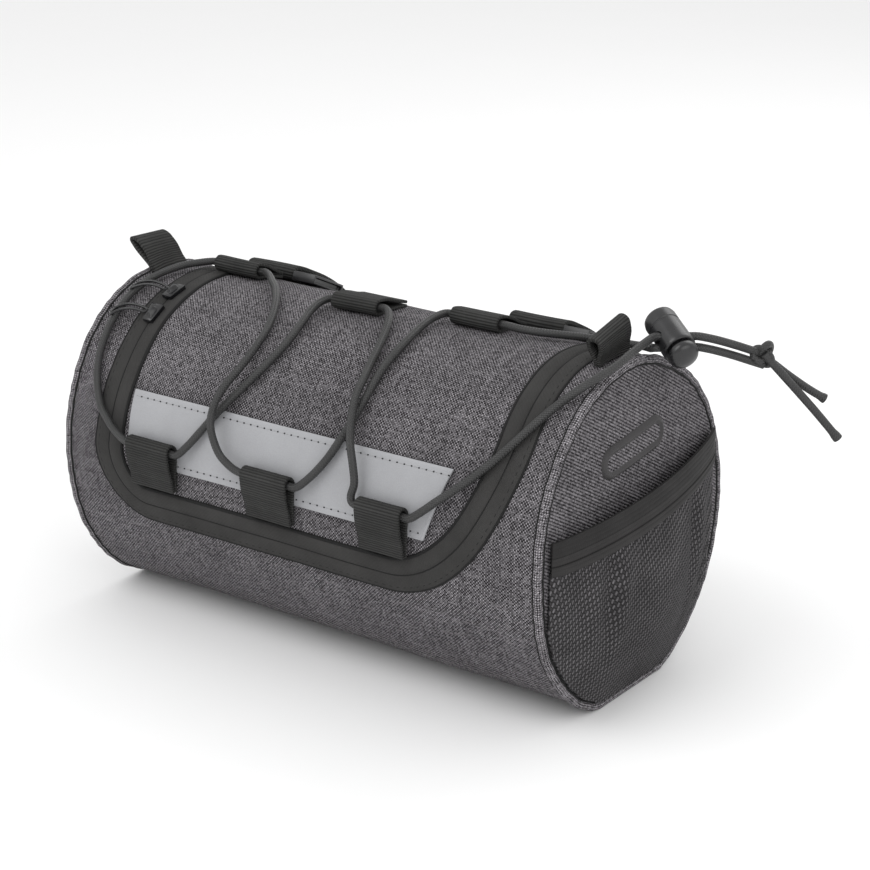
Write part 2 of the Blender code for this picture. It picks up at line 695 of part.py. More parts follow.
def block(name, finish, middle, axes, size, bevel):
    bm = bmesh.new()
    bmesh.ops.create_cube(bm, size=1.0)
    for vert in bm.verts:
        vert.co = middle + sum((axis * (vert.co[k] * size[k]) for k, axis in enumerate(axes)), Vector())
    bm.normal_update()
    bmesh.ops.recalc_face_normals(bm, faces=bm.faces)
    bmesh.ops.bevel(bm, geom=list(bm.edges), offset=bevel, segments=2, profile=0.5, affect="EDGES")
    mesh = bpy.data.meshes.new(name)
    bm.to_mesh(mesh)
    bm.free()
    mesh.shade_smooth()
    mesh.set_sharp_from_angle(angle=math.radians(40))
    return add_object(name, mesh, finish)


def zip_slider(name, angle):
    place, along, left, out = slider_frame(angle)
    out = out if out.dot(place - Vector((place.x, 0.0, AXIS_HEIGHT))) > 0 else -out
    middle = place + out * (SLIDER_HEIGHT / 2 + GAP)
    block(name, "black_metal", middle, (along, left, out),
          (SLIDER_LENGTH, SLIDER_WIDTH, SLIDER_HEIGHT), 0.0008)
    tilt = math.radians(PULL_TILT)
    ahead = left * math.cos(tilt) + out * math.sin(tilt)
    pull_middle = middle + left * (SLIDER_WIDTH / 2 + 2 * GAP) + ahead * (PULL_LENGTH / 2)
    block(name.replace("slider", "pull"), "black_metal", pull_middle, (ahead, along, ahead.cross(along)),
          (PULL_LENGTH, PULL_WIDTH, PULL_WALL), 0.0004)


# Cord, lock, knot and ends

def smooth_route(points):
    """Points along a smooth curve through the chosen ones, closer together where it bends."""
    ends = [points[0] * 2 - points[1]] + points + [points[-1] * 2 - points[-2]]
    fine = []
    for k in range(1, len(ends) - 2):
        for part in range(8):
            fine.append(spline(ends[k - 1], ends[k], ends[k + 1], ends[k + 2], part / 8))
    fine.append(points[-1])
    longest = CORD_STEP * 2 * CORD_RADIUS
    kept = [fine[0]]
    heading = fine[1] - fine[0]
    for k in range(1, len(fine) - 1):
        ahead = fine[k + 1] - fine[k]
        far = (fine[k + 1] - kept[-1]).length > longest
        if far or ahead.angle(heading) > math.radians(CORD_TURN):
            kept.append(fine[k])
            heading = ahead
    kept.append(fine[-1])
    return kept


def loop_passage(number, from_right):
    """The straight stretch of the cord through a loop, in the loop's own channel."""
    loop = named(LOOP_COLUMNS, LOOPS[number])
    left, right, angle = loop["left"], loop["right"], loop["channel_angle"]
    lift = loop["base_lift"] + GAP + WEBBING_WALL + CORD_CLEARANCE + CORD_RADIUS
    xs = (right + CORD_STRAIGHT, right - CORD_STRAIGHT, left + CORD_STRAIGHT, left - CORD_STRAIGHT)
    return [(x, angle, lift) for x in (xs if from_right else reversed(xs))]


def lock_point(share, side=0.0, aside=0.0):
    """Point on the lock's axis from its far end, with side along the cords' hole."""
    start = Vector(LOCK_END) + Vector((0.0, 0.0, AXIS_HEIGHT))
    axis = Vector(LOCK_DIRECTION).normalized()
    return start + axis * (LOCK_LENGTH * share) + cord_axis() * side + Vector((0.0, 0.0, aside))


def cord_axis():
    return Vector(CORD_DIRECTION).normalized()


def lowered(stations):
    """The stations with the cord resting a little lower."""
    return [(x, angle, lift - CORD_DROP) for x, angle, lift in stations]


def laced_cord():
    stations = lowered(STRAND_TO_BOTTOM_3)
    stations += loop_passage(2, True) + lowered(BOTTOM_3_TO_TOP_2)
    stations += loop_passage(4, True) + lowered(TOP_2_TO_BOTTOM_1)
    stations += loop_passage(0, True) + lowered(BOTTOM_1_TO_TOP_1)
    stations += loop_passage(3, False) + lowered(TOP_1_TO_BOTTOM_2)
    stations += loop_passage(1, False) + lowered(BOTTOM_2_TO_TOP_3)
    stations += loop_passage(5, False) + lowered(TOP_3_TO_LOCK)
    points = [on_barrel(**named(ROUTE_COLUMNS, station)) for station in stations]
    upper = [lock_point(LOCK_HOLE_SHARE, side, CORD_SPACING / 2) for side in (-GAP, -0.004, -0.0075)]
    lower = [lock_point(LOCK_HOLE_SHARE, side, -CORD_SPACING / 2) for side in (-0.0075, -0.004, -GAP)]
    route = smooth_route(upper + points + lower)
    tube("bungee_cord", "braided_cord", route, CORD_RADIUS)


def turned(name, finish, profile, start, axis, sides=24):
    """A turned solid: stations (along, radius) from its first cap to its last."""
    bm = bmesh.new()
    bmesh.ops.create_cone(bm, cap_ends=True, segments=sides, radius1=1.0, radius2=1.0, depth=2.0)
    stretch = len(profile) - 1
    uprights = [edge for edge in bm.edges if abs(edge.verts[0].co.z - edge.verts[1].co.z) > 1.0]
    bmesh.ops.subdivide_edges(bm, edges=uprights, cuts=stretch - 1, use_grid_fill=True)
    turn = Vector((0.0, 0.0, 1.0)).rotation_difference(axis)
    for vert in bm.verts:
        along, radius = profile[round((vert.co.z + 1.0) / 2.0 * stretch)]
        flat = Vector((vert.co.x, vert.co.y, 0.0)).normalized() * radius
        vert.co = start + turn @ (flat + Vector((0.0, 0.0, along)))
    bm.normal_update()
    bmesh.ops.recalc_face_normals(bm, faces=bm.faces)
    mesh = bpy.data.meshes.new(name)
    bm.to_mesh(mesh)
    bm.free()
    mesh.shade_smooth()
    mesh.set_sharp_from_angle(angle=math.radians(40))
    return add_object(name, mesh, finish)


def cord_lock():
    axis = Vector(LOCK_DIRECTION).normalized()
    start = lock_point(0.0)
    barrel = turned("cord_lock_barrel", "plastic",
                    ((0.0, LOCK_RADIUS * 0.72), (0.0009, LOCK_RADIUS * 0.93), (0.0024, LOCK_RADIUS),
                     (LOCK_LENGTH - 0.0008, LOCK_RADIUS), (LOCK_LENGTH, LOCK_RADIUS - 0.0006)),
                    start, axis)
    bm = bmesh.new()
    bmesh.ops.create_cube(bm, size=1.0)
    through = cord_axis()
    across = Vector((0.0, 0.0, 1.0)).cross(through)
    size = (6 * LOCK_RADIUS, LOCK_HOLE_WIDTH, LOCK_HOLE_HEIGHT)
    for vert in bm.verts:
        local = vert.co.copy()
        vert.co = (lock_point(LOCK_HOLE_SHARE) + through * (local.x * size[0])
                   + across * (local.y * size[1]) + Vector((0.0, 0.0, local.z * size[2])))
    bm.normal_update()
    bmesh.ops.recalc_face_normals(bm, faces=bm.faces)
    mesh = bpy.data.meshes.new("cord_hole_cutter")
    bm.to_mesh(mesh)
    bm.free()
    cutter = bpy.data.objects.new("cord_hole_cutter", mesh)
    CUTTERS.objects.link(cutter)
    cutter.hide_render = True
    cutter.display_type = "WIRE"
    cut = barrel.modifiers.new("Cord hole", "BOOLEAN")
    cut.operation = "DIFFERENCE"
    cut.object = cutter
    turned("cord_lock_button", "plastic",
           ((GAP, BUTTON_RADIUS), (BUTTON_LENGTH - 0.0012, BUTTON_RADIUS),
            (BUTTON_LENGTH - 0.0004, BUTTON_RADIUS * 0.9), (BUTTON_LENGTH, BUTTON_RADIUS * 0.6)),
           start + axis * LOCK_LENGTH, axis)


def knot_middle():
    along = TAIL_LENGTH + LOCK_RADIUS + GAP + KNOT_LENGTH / 2
    return lock_point(LOCK_HOLE_SHARE, along) - Vector((0.0, 0.0, TAIL_SAG))


def cord_tail():
    reach = TAIL_LENGTH + LOCK_RADIUS - 2 * GAP
    straight = (LOCK_RADIUS + 4 * GAP) / reach
    for name, aside in (("cord_tail_upper", CORD_SPACING / 2), ("cord_tail_lower", -CORD_SPACING / 2)):
        points = []
        for share in (0.0, 0.15, 0.3, 0.45, 0.6, 0.8, 1.0):
            point = lock_point(LOCK_HOLE_SHARE, reach * share, aside)
            point.z -= TAIL_SAG * max(0.0, (share - straight) / (1 - straight)) ** 1.3
            points.append(point)
        tube(name, "braided_cord", smooth_route(points), CORD_RADIUS)


def cord_knot():
    """The outer form of the overhand knot: a fat bead, taller than long."""
    bm = bmesh.new()
    bmesh.ops.create_uvsphere(bm, u_segments=14, v_segments=9, radius=1.0)
    across = Vector((0.0, 0.0, 1.0)).cross(cord_axis())
    for vert in bm.verts:
        local = vert.co.copy()
        vert.co = (knot_middle() + cord_axis() * (local.x * KNOT_LENGTH / 2)
                   + across * (local.y * KNOT_LENGTH / 2) + Vector((0.0, 0.0, local.z * KNOT_HEIGHT / 2)))
    bm.normal_update()
    bmesh.ops.recalc_face_normals(bm, faces=bm.faces)
    mesh = bpy.data.meshes.new("cord_knot")
    bm.to_mesh(mesh)
    bm.free()
    mesh.shade_smooth()
    add_object("cord_knot", mesh, "braided_cord")


def free_end(name, side, along_and_drops):
    """A cord's end below the knot, with its crimped tip."""
    across = Vector((0.0, 0.0, 1.0)).cross(cord_axis())
    slant = (cord_axis() - Vector((0.0, 0.0, 1.0))).normalized()
    start = knot_middle() + slant * ((KNOT_LENGTH + KNOT_HEIGHT) / 4 + GAP)
    points = [start + cord_axis() * along - Vector((0.0, 0.0, drop)) + across * side
              for along, drop in along_and_drops]
    item = tube(name, "braided_cord", smooth_route(points), CORD_RADIUS)
    spline_points = item.data.splines[0].points
    spline_points[len(spline_points) - 1].radius = TIP_RADIUS / CORD_RADIUS


clear_scene()
BAG = collection("handlebar_bag")
CUTTERS = collection("cutters")

body_wrap()
for end_name, end_side in (("left", -1), ("right", 1)):
    piping("piping_" + end_name, end_side)
    end_panel("end_panel_" + end_name, end_side)
lid_panel()
zip_tape("zipper_tape_lid", GAP)
zip_tape("zipper_tape_body", TAPE_WIDTH + 2 * GAP)
reflective_strip()
for loop_row in LOOPS:
    cord_loop(**named(LOOP_COLUMNS, loop_row))
for loop_row in SHOULDER_LOOPS:
    shoulder_loop(**named(SHOULDER_COLUMNS, loop_row))
for strap_row in STRAPS:
    handlebar_strap(**named(STRAP_COLUMNS, strap_row))
    strap_buckle(**named(STRAP_COLUMNS, strap_row))
pocket_mesh()
pocket_binding()
end_patch()
for slider_row in SLIDERS:
    zip_slider(**named(SLIDER_COLUMNS, slider_row))
laced_cord()
cord_lock()
cord_tail()
cord_knot()
for end_row in FREE_ENDS:
    free_end(**named(END_COLUMNS, end_row))
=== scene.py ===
"""Looks of a bicycle handlebar bag: heathered cloth, zip, webbing, lacing, cord lock and net pocket.

Metres, +Z up. X runs along the barrel, with the net pocket at +X, and -Y is the front. Angles round
the barrel are in degrees from the top towards the front, and a lift is a height above its cloth.
"""

import math

import bmesh
import bpy
from bpy.props import FloatProperty, FloatVectorProperty, IntProperty, PointerProperty
from mathutils import Matrix, Vector


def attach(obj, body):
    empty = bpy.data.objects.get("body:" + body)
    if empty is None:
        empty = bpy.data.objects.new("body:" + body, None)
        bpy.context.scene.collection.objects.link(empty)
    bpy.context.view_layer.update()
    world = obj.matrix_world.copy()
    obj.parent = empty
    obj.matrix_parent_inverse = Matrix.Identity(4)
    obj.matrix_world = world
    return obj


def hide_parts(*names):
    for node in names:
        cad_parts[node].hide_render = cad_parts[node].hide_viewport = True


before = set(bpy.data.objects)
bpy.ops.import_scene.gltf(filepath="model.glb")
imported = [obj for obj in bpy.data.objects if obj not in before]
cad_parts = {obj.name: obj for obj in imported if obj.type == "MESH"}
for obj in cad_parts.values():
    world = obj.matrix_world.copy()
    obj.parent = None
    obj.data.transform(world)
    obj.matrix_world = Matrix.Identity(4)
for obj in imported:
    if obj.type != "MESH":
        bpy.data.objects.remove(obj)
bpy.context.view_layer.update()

bl_info = {
    "name": "Handlebar Bag",
    "version": (1, 0, 0),
    "blender": (4, 5, 0),
    "location": "View3D > Sidebar > Bag",
    "description": "Dresses a laced barrel bag for a bicycle handlebar",
    "category": "Object",
}

# Barrel, as in the solids
BODY_RADIUS = 0.0650
SEAM_HALF_LENGTH = 0.1133
AXIS_HEIGHT = 0.0632
BODY_WALL = 0.0020
GAP = 0.0003
SECTION_STEP = 30.0
SECTION = (1.030, 1.045, 1.000, 0.962, 0.984, 1.012, 1.010, 1.015, 1.000, 0.970, 0.965, 0.985)

# Ends and piping
PIPING_RADIUS = 0.0016
PIPING_PROUD = 0.0010
SEAM_SHADE_RADIUS = 0.00045          # dark line of painted shade in a sunk seam
SEAM_SHADE_LIFT = 0.00005
LID_SLIT_SHADE = 0.0008              # dark line of painted shadow in the slit beside the edge of the lid
PANEL_WALL = 0.0020
PANEL_DOME = 0.0030
PANEL_EDGE_INSET = 0.0006

# Lid
HINGE_ANGLE = -30.0
LID_BOTTOM_ANGLE = 94.0
LID_LEFT = -0.0840
LID_RIGHT = 0.0880
LID_WALL = 0.0020
LEFT_CORNER = (0.0130, 0.0150)
RIGHT_CORNER = (0.0400, 0.0530)
CORNER_FULLNESS = 1.8
LEFT_WAIST = 0.0035
RIGHT_WAIST = 0.0015

# Zip tapes and reflective strip
TAPE_WIDTH = 0.0067
TAPE_WALL = 0.0010
TAPE_LIFT = 0.0004
TAPE_ROLL = 0.0007             # how much the middle of a tape stands up
STRIP_TOP_ANGLE = 59.5
STRIP_BOTTOM_ANGLE = 84.5
STRIP_LEFT = -0.0800
STRIP_RIGHT_TOP = 0.0740
STRIP_RIGHT_BOTTOM = 0.0650
STRIP_WALL = 0.0010

# Cord and its webbing loops: name, left, right, channel angle, sewn angle, lift of what is under it
CORD_RADIUS = 0.0015
CORD_CLEARANCE = 0.0006
CORD_DROP = 0.0004             # taken off the lift of every chosen point of the laced cord
CORD_STRAIGHT = 0.0025
WEBBING_WALL = 0.0012
LOOPS = (
    ("cord_loop_bottom_1", -0.0750, -0.0530, 77.5, 91.5, STRIP_WALL + GAP),
    ("cord_loop_bottom_2", -0.0160, 0.0060, 77.5, 91.5, STRIP_WALL + GAP),
    ("cord_loop_bottom_3", 0.0385, 0.0585, 77.5, 91.5, STRIP_WALL + GAP),
    ("cord_loop_top_1", -0.0870, -0.0650, -1.5, -13.5, TAPE_LIFT),
    ("cord_loop_top_2", -0.0155, 0.0060, 9.0, -5.0, 0.0),
    ("cord_loop_top_3", 0.0345, 0.0560, 2.0, -12.0, 0.0),
)

# Shoulder strap loops: name, foot, lean, front, back, height in front, height behind
SHOULDER_LOOPS = (
    ("shoulder_loop_left", -0.1080, -0.0115, -0.0145, 0.0036, 0.0128, 0.0122),
    ("shoulder_loop_right", 0.1058, -0.0022, -0.0145, 0.0052, 0.0092, 0.0140),
)
SHOULDER_WALL = 0.0014
SHOULDER_EYE = 0.0016
SHOULDER_LEAN_CURVE = 1.1

# Handlebar straps: side, middle
STRAPS = (("left", -0.0760), ("right", 0.0560))
STRAP_WIDTH = 0.0250
STRAP_WALL = 0.0016
STRAP_TOP_ANGLE = -20.0
STRAP_LOW_ANGLE = -112.0
STRAP_EYE = 0.0120
STRAP_END_EYE = 0.0034
STRAP_SAG = 1.6
BUCKLE_WIDTH = 0.0115
BUCKLE_LENGTH = 0.0200
BUCKLE_WALL = 0.0048
BUCKLE_ANGLE = -25.0

# Zip sliders: name, angle
SLIDERS = (("zipper_slider_1", 22.0), ("zipper_slider_2", 33.0))
SLIDER_LENGTH = 0.0085
SLIDER_WIDTH = 0.0065
SLIDER_HEIGHT = 0.0034
PULL_LENGTH = 0.0150
PULL_WIRE = 0.00055            # radius of the pull's wire
PULL_NARROW = 0.0008           # half of the pull's width at the slider
PULL_WIDE = 0.0016             # half of its width at the far end
PULL_RISE = 0.0024
PULL_DROOP = 0.0050

# Net pocket and patch on the right end
POCKET_FRONT_Y = -0.0575
POCKET_BACK_Y = 0.0530
POCKET_FRONT_Z = 0.0155
POCKET_BACK_Z = 0.0270
POCKET_DIP = 0.0008
POCKET_STAND_OFF = 0.0060
POCKET_BELLY = 0.0065
POCKET_WALL = 0.0010
BINDING_HEIGHT = 0.0120
BINDING_WALL = 0.0014
BINDING_RIDGES = 4             # ribs in the lower part of the band
BINDING_SMOOTH = 0.45          # share of the band that is smooth, from the top
PATCH_LENGTH = 0.0420
PATCH_HEIGHT = 0.0125
PATCH_WALL = 0.0010
PATCH_Y = -0.0052
PATCH_Z = 0.0358
PATCH_SLANT = 7.0
PATCH_RING = 0.0016             # from the patch's edge to the crest of its raised outline
PATCH_EDGE = 0.0030             # width of the rubber round its bare middle

# Cord lock
LOCK_END = (0.1130, 0.0140, 0.0792)
LOCK_DIRECTION = (0.792, -0.476, -0.383)
LOCK_RADIUS = 0.0062
LOCK_LENGTH = 0.0190
LOCK_HOLE_SHARE = 0.75
LOCK_HOLE_WIDTH = 0.0036
LOCK_HOLE_HEIGHT = 0.0080
BUTTON_RADIUS = 0.0056
BUTTON_LENGTH = 0.0055
CORD_DIRECTION = (0.750, 0.661, 0.0)
CORD_SPACING = 0.0040

# Route of the laced cord, the same points as in the solids: x, angle, lift
STRAND_TO_BOTTOM_3 = (
    (0.1178, 2.5, 0.0076), (0.1172, 8.5, 0.0062), (0.1160, 14.0, 0.0050), (0.1137, 20.3, 0.0042),
    (0.1100, 26.6, 0.0036), (0.1060, 32.5, 0.0033), (0.1016, 39.0, 0.0030), (0.0970, 46.0, 0.0030),
    (0.0918, 52.6, 0.0031), (0.0858, 58.8, 0.0033), (0.0790, 64.8, 0.0038), (0.0715, 70.3, 0.0044),
    (0.0660, 74.4, 0.0049),
)
BOTTOM_3_TO_TOP_2 = (
    (0.0346, 75.4, 0.0053), (0.0356, 71.2, 0.0056), (0.0343, 66.0, 0.0066), (0.0318, 60.5, 0.0074),
    (0.0291, 54.7, 0.0070),
    (0.0268, 47.0, 0.0064), (0.0252, 40.0, 0.0046), (0.0232, 33.5, 0.0032), (0.0212, 27.0, 0.0028),
    (0.0175, 18.5, 0.0029), (0.0130, 12.2, 0.0033),
)
TOP_2_TO_BOTTOM_1 = (
    (-0.0200, 12.6, 0.0037), (-0.0196, 18.0, 0.0032), (-0.0178, 27.0, 0.0028), (-0.0182, 35.0, 0.0028),
    (-0.0222, 43.7, 0.0028), (-0.0292, 53.2, 0.0029), (-0.0350, 61.0, 0.0037), (-0.0412, 68.5, 0.0040),
    (-0.0458, 73.6, 0.0046),
)
BOTTOM_1_TO_TOP_1 = (
    (-0.0835, 75.6, 0.0046), (-0.0890, 72.6, 0.0038), (-0.0958, 66.7, 0.0031), (-0.1012, 55.6, 0.0029),
    (-0.1036, 43.4, 0.0029), (-0.1042, 30.2, 0.0029), (-0.1026, 18.4, 0.0030), (-0.0990, 8.0, 0.0033),
    (-0.0945, 1.8, 0.0037),
)
TOP_1_TO_BOTTOM_2 = (
    (-0.0575, 1.0, 0.0038), (-0.0515, 5.4, 0.0033), (-0.0450, 10.2, 0.0029), (-0.0372, 18.3, 0.0028),
    (-0.0312, 28.0, 0.0028), (-0.0300, 37.0, 0.0030), (-0.0308, 45.0, 0.0044), (-0.0325, 52.0, 0.0068),
    (-0.0338, 58.6, 0.0080), (-0.0332, 65.5, 0.0079), (-0.0292, 72.5, 0.0064), (-0.0238, 76.2, 0.0054),
)
BOTTOM_2_TO_TOP_3 = (
    (0.0120, 75.4, 0.0049), (0.0168, 70.8, 0.0042), (0.0215, 65.0, 0.0040), (0.0248, 58.5, 0.0038),
    (0.0270, 51.5, 0.0031), (0.0286, 44.1, 0.0028), (0.0292, 35.0, 0.0028), (0.0298, 25.0, 0.0028),
    (0.0296, 15.0, 0.0029), (0.0292, 8.5, 0.0032), (0.0302, 4.0, 0.0038),
)
TOP_3_TO_LOCK = (
    (0.0635, 1.6, 0.0035), (0.0700, 0.0, 0.0031), (0.0775, -3.5, 0.0029), (0.0850, -7.6, 0.0029),
    (0.0930, -10.6, 0.0030), (0.1010, -12.2, 0.0032), (0.1075, -11.8, 0.0034), (0.1128, -8.6, 0.0035),
    (0.1155, -4.6, 0.0042),
)

# Free tail, the same points as in the solids
TAIL_LENGTH = 0.0214
TAIL_SAG = 0.0055
KNOT_LENGTH = 0.0090
KNOT_HEIGHT = 0.0112
FREE_ENDS = (
    ("cord_end_1", 0.0019, ((0.0, 0.0), (0.0066, 0.0052), (0.0136, 0.0102), (0.0200, 0.0142))),
    ("cord_end_2", -0.0016, ((0.0, 0.0), (0.0083, 0.0092), (0.0166, 0.0186), (0.0248, 0.0284))),
)
INTO_KNOT = 0.0060             # how far the visible cords run into the knot

# Camera, at the photograph's angle
CAMERA_PLACE = (0.5009, -0.6460, 0.3651)
CAMERA_AZIMUTH = 36.46
CAMERA_ELEVATION = 19.36
CAMERA_LENS = 91.03
CAMERA_SENSOR = 36.0

END_RIB_TURN = 29.5            # lays the ribs of the end cloth along X of the map


class BagSizes(bpy.types.PropertyGroup):
    """Sizes of the finish that a user may change."""
    thread: FloatProperty(name="Thread", description="Spacing of the cloth's threads",
                          default=0.00066, min=0.0003, max=0.002, precision=5, unit="LENGTH")
    rib: FloatProperty(name="Rib", description="Spacing of the webbing's ribs",
                       default=0.00095, min=0.0005, max=0.003, precision=5, unit="LENGTH")
    end_rib: FloatProperty(name="End rib", description="Spacing of the diagonal ribs on the round ends",
                           default=0.00113, min=0.0005, max=0.003, precision=5, unit="LENGTH")
    net: FloatProperty(name="Net", description="Spacing of the net's threads",
                       default=0.00105, min=0.0005, max=0.004, precision=5, unit="LENGTH")
    braid: FloatProperty(name="Braid", description="Spacing of the cord's braided strands",
                         default=0.0011, min=0.0005, max=0.003, precision=5, unit="LENGTH")
    stitch: FloatProperty(name="Stitch", description="Spacing of the stitches along a seam",
                          default=0.0033, min=0.0015, max=0.006, precision=4, unit="LENGTH")
    thread_radius: FloatProperty(name="Stitch thread", description="Radius of the sewing thread",
                                 default=0.00022, min=0.0001, max=0.0005, precision=5, unit="LENGTH")
    wrinkle: FloatProperty(name="Wrinkle", description="Depth of the barrel's soft undulations",
                           default=0.00045, min=0.0, max=0.001, precision=5, unit="LENGTH")
    fold: FloatProperty(name="Net fold", description="Depth of the net pocket's folds",
                        default=0.0024, min=0.0, max=0.004, precision=4, unit="LENGTH")
    fineness: IntProperty(name="Fineness", description="Rows of faces down the lid's sides",
                          default=36, min=12, max=60)


def colour_property(name, description, default):
    return FloatVectorProperty(name=name, description=description, default=default, size=3, min=0.0,
                               max=1.0, subtype="COLOR")


class BagColours(bpy.types.PropertyGroup):
    """Colours of the bag's finishes."""
    cloth_light: colour_property("Cloth, light thread", "Pale thread of the barrel's cloth", (0.370, 0.352, 0.372))
    cloth_dark: colour_property("Cloth, dark thread", "Dark thread of the barrel's cloth", (0.022, 0.020, 0.022))
    tape: colour_property("Zip tape", "Woven tape beside the zip", (0.044, 0.043, 0.042))
    strip: colour_property("Reflective strip", "Face of the reflective strip", (0.325, 0.328, 0.342))
    webbing: colour_property("Webbing", "Ribbed webbing of loops and straps", (0.031, 0.031, 0.030))
    cord: colour_property("Cord", "Braided cover of the elastic", (0.026, 0.026, 0.026))
    net: colour_property("Net", "Threads of the net pocket", (0.074, 0.071, 0.074))
    binding: colour_property("Binding", "Ribbed elastic band of the pocket", (0.024, 0.023, 0.023))
    patch: colour_property("Patch", "Rubber patch on the right end", (0.044, 0.042, 0.043))
    plastic: colour_property("Plastic", "Cord lock and buckles", (0.012, 0.012, 0.013))
    metal: colour_property("Metal", "Zip sliders and pulls", (0.005, 0.005, 0.006))
    floor: colour_property("Floor", "Plain pale floor", (0.900, 0.900, 0.900))


def sizes():
    return bpy.context.scene.bag_sizes


def colours():
    return bpy.context.scene.bag_colours


# Node trees

class Graph:
    """Short calls for building a tree of shader nodes."""

    def __init__(self, tree):
        self.tree = tree

    def node(self, kind, inputs=(), **settings):
        made = self.tree.nodes.new(kind)
        for name, value in settings.items():
            setattr(made, name, value)
        for name, value in dict(inputs).items():
            self.feed(made.inputs[name], value)
        return made

    def feed(self, socket, value):
        if isinstance(value, bpy.types.NodeSocket):
            self.tree.links.new(value, socket)
        else:
            socket.default_value = value

    def math(self, operation, *values):
        made = self.node("ShaderNodeMath", operation=operation)
        for socket, value in zip(made.inputs, values):
            self.feed(socket, value)
        return made.outputs[0]

    def mix(self, factor, first, second):
        made = self.node("ShaderNodeMix", data_type="RGBA")
        for name, value in (("Factor_Float", factor), ("A_Color", first), ("B_Color", second)):
            self.feed(next(s for s in made.inputs if s.identifier == name), value)
        return next(s for s in made.outputs if s.identifier == "Result_Color")

    def blend(self, factor, first, second):
        made = self.node("ShaderNodeMix", data_type="FLOAT")
        for name, value in (("Factor_Float", factor), ("A_Float", first), ("B_Float", second)):
            self.feed(next(s for s in made.inputs if s.identifier == name), value)
        return next(s for s in made.outputs if s.identifier == "Result_Float")

    def spread(self, value, low, high, to_low, to_high):
        made = self.node("ShaderNodeMapRange", {"Value": value, "From Min": low, "From Max": high,
                                                "To Min": to_low, "To Max": to_high})
        return made.outputs["Result"]


def new_group(name, inputs, outputs):
    """An empty node group with its sockets: (name, type, default) and (name, type)."""
    group = bpy.data.node_groups.new(name, "ShaderNodeTree")
    for label, kind, default in inputs:
        socket = group.interface.new_socket(label, in_out="INPUT", socket_type="NodeSocket" + kind)
        if default is not None:
            socket.default_value = default
    for label, kind in outputs:
        group.interface.new_socket(label, in_out="OUTPUT", socket_type="NodeSocket" + kind)
    graph = Graph(group)
    return graph, graph.node("NodeGroupInput").outputs, graph.node("NodeGroupOutput").inputs


def weave_group():
    """Threads over and under one another: height, which thread is on top, and a value for each crossing."""
    name = "Woven Threads"
    if name in bpy.data.node_groups:
        return bpy.data.node_groups[name]
    g, given, result = new_group(
        name,
        (("Vector", "Vector", None), ("Spacing", "Float", 0.0007), ("Repeat", "Float", 4.0)),
        (("Height", "Float"), ("Warp On Top", "Float"), ("Crossing", "Float"), ("Thread", "Float")))
    scaled = g.node("ShaderNodeVectorMath", operation="SCALE")
    g.feed(scaled.inputs[0], given["Vector"])
    g.feed(scaled.inputs["Scale"], g.math("DIVIDE", 1.0, given["Spacing"]))
    parts = g.node("ShaderNodeSeparateXYZ", {"Vector": scaled.outputs[0]}).outputs
    column, row = g.math("FLOOR", parts["X"]), g.math("FLOOR", parts["Y"])
    across = g.math("SINE", g.math("MULTIPLY", g.math("FRACT", parts["X"]), math.pi))
    along = g.math("SINE", g.math("MULTIPLY", g.math("FRACT", parts["Y"]), math.pi))
    step = g.math("FLOORED_MODULO", g.math("ADD", column, row), given["Repeat"])
    on_top = g.math("LESS_THAN", step, g.math("MULTIPLY", given["Repeat"], 0.5))
    cell = g.node("ShaderNodeCombineXYZ", {"X": column, "Y": row}).outputs[0]
    crossing = g.node("ShaderNodeTexWhiteNoise", {"Vector": cell}, noise_dimensions="2D").outputs["Value"]
    warp = g.node("ShaderNodeTexWhiteNoise", {"W": column}, noise_dimensions="1D").outputs["Value"]
    weft = g.node("ShaderNodeTexWhiteNoise", {"W": row}, noise_dimensions="1D").outputs["Value"]
    g.feed(result["Height"], g.blend(on_top, along, across))
    g.feed(result["Warp On Top"], on_top)
    g.feed(result["Crossing"], crossing)
    g.feed(result["Thread"], g.blend(on_top, weft, warp))
    return bpy.data.node_groups[name]


def rib_group():
    """Ribs across a webbing or an elastic, with the fine threads that cross them."""
    name = "Ribs"
    if name in bpy.data.node_groups:
        return bpy.data.node_groups[name]
    g, given, result = new_group(
        name, (("Vector", "Vector", None), ("Spacing", "Float", 0.0012), ("Fine", "Float", 0.5)),
        (("Height", "Float"), ("Shade", "Float")))
    parts = g.node("ShaderNodeSeparateXYZ", {"Vector": given["Vector"]}).outputs
    place = g.math("DIVIDE", parts["Y"], given["Spacing"])
    ridge = g.math("ABSOLUTE", g.math("SINE", g.math("MULTIPLY", place, math.pi)))
    fine_place = g.math("DIVIDE", parts["X"], g.math("MULTIPLY", given["Spacing"], 0.55))
    shift = g.math("MULTIPLY", g.math("FLOOR", place), 0.5)
    fine = g.math("ABSOLUTE", g.math("SINE", g.math("MULTIPLY", g.math("ADD", fine_place, shift), math.pi)))
    g.feed(result["Height"], g.math("ADD", ridge, g.math("MULTIPLY", fine, given["Fine"])))
    row = g.node("ShaderNodeTexWhiteNoise", {"W": g.math("FLOOR", place)}, noise_dimensions="1D")
    g.feed(result["Shade"], row.outputs["Value"])
    return bpy.data.node_groups[name]


def mottle_group():
    """Broad, soft variation over a surface, such as handling leaves on cloth and plastic."""
    name = "Mottle"
    if name in bpy.data.node_groups:
        return bpy.data.node_groups[name]
    g, given, result = new_group(
        name, (("Vector", "Vector", None), ("Scale", "Float", 40.0), ("Low", "Float", 0.8), ("High", "Float", 1.1)),
        (("Value", "Float"),))
    noise = g.node("ShaderNodeTexNoise", {"Vector": given["Vector"], "Scale": given["Scale"], "Detail": 4.0,
                                          "Roughness": 0.6})
    g.feed(result["Value"], g.spread(noise.outputs["Fac"], 0.3, 0.7, given["Low"], given["High"]))
    return bpy.data.node_groups[name]


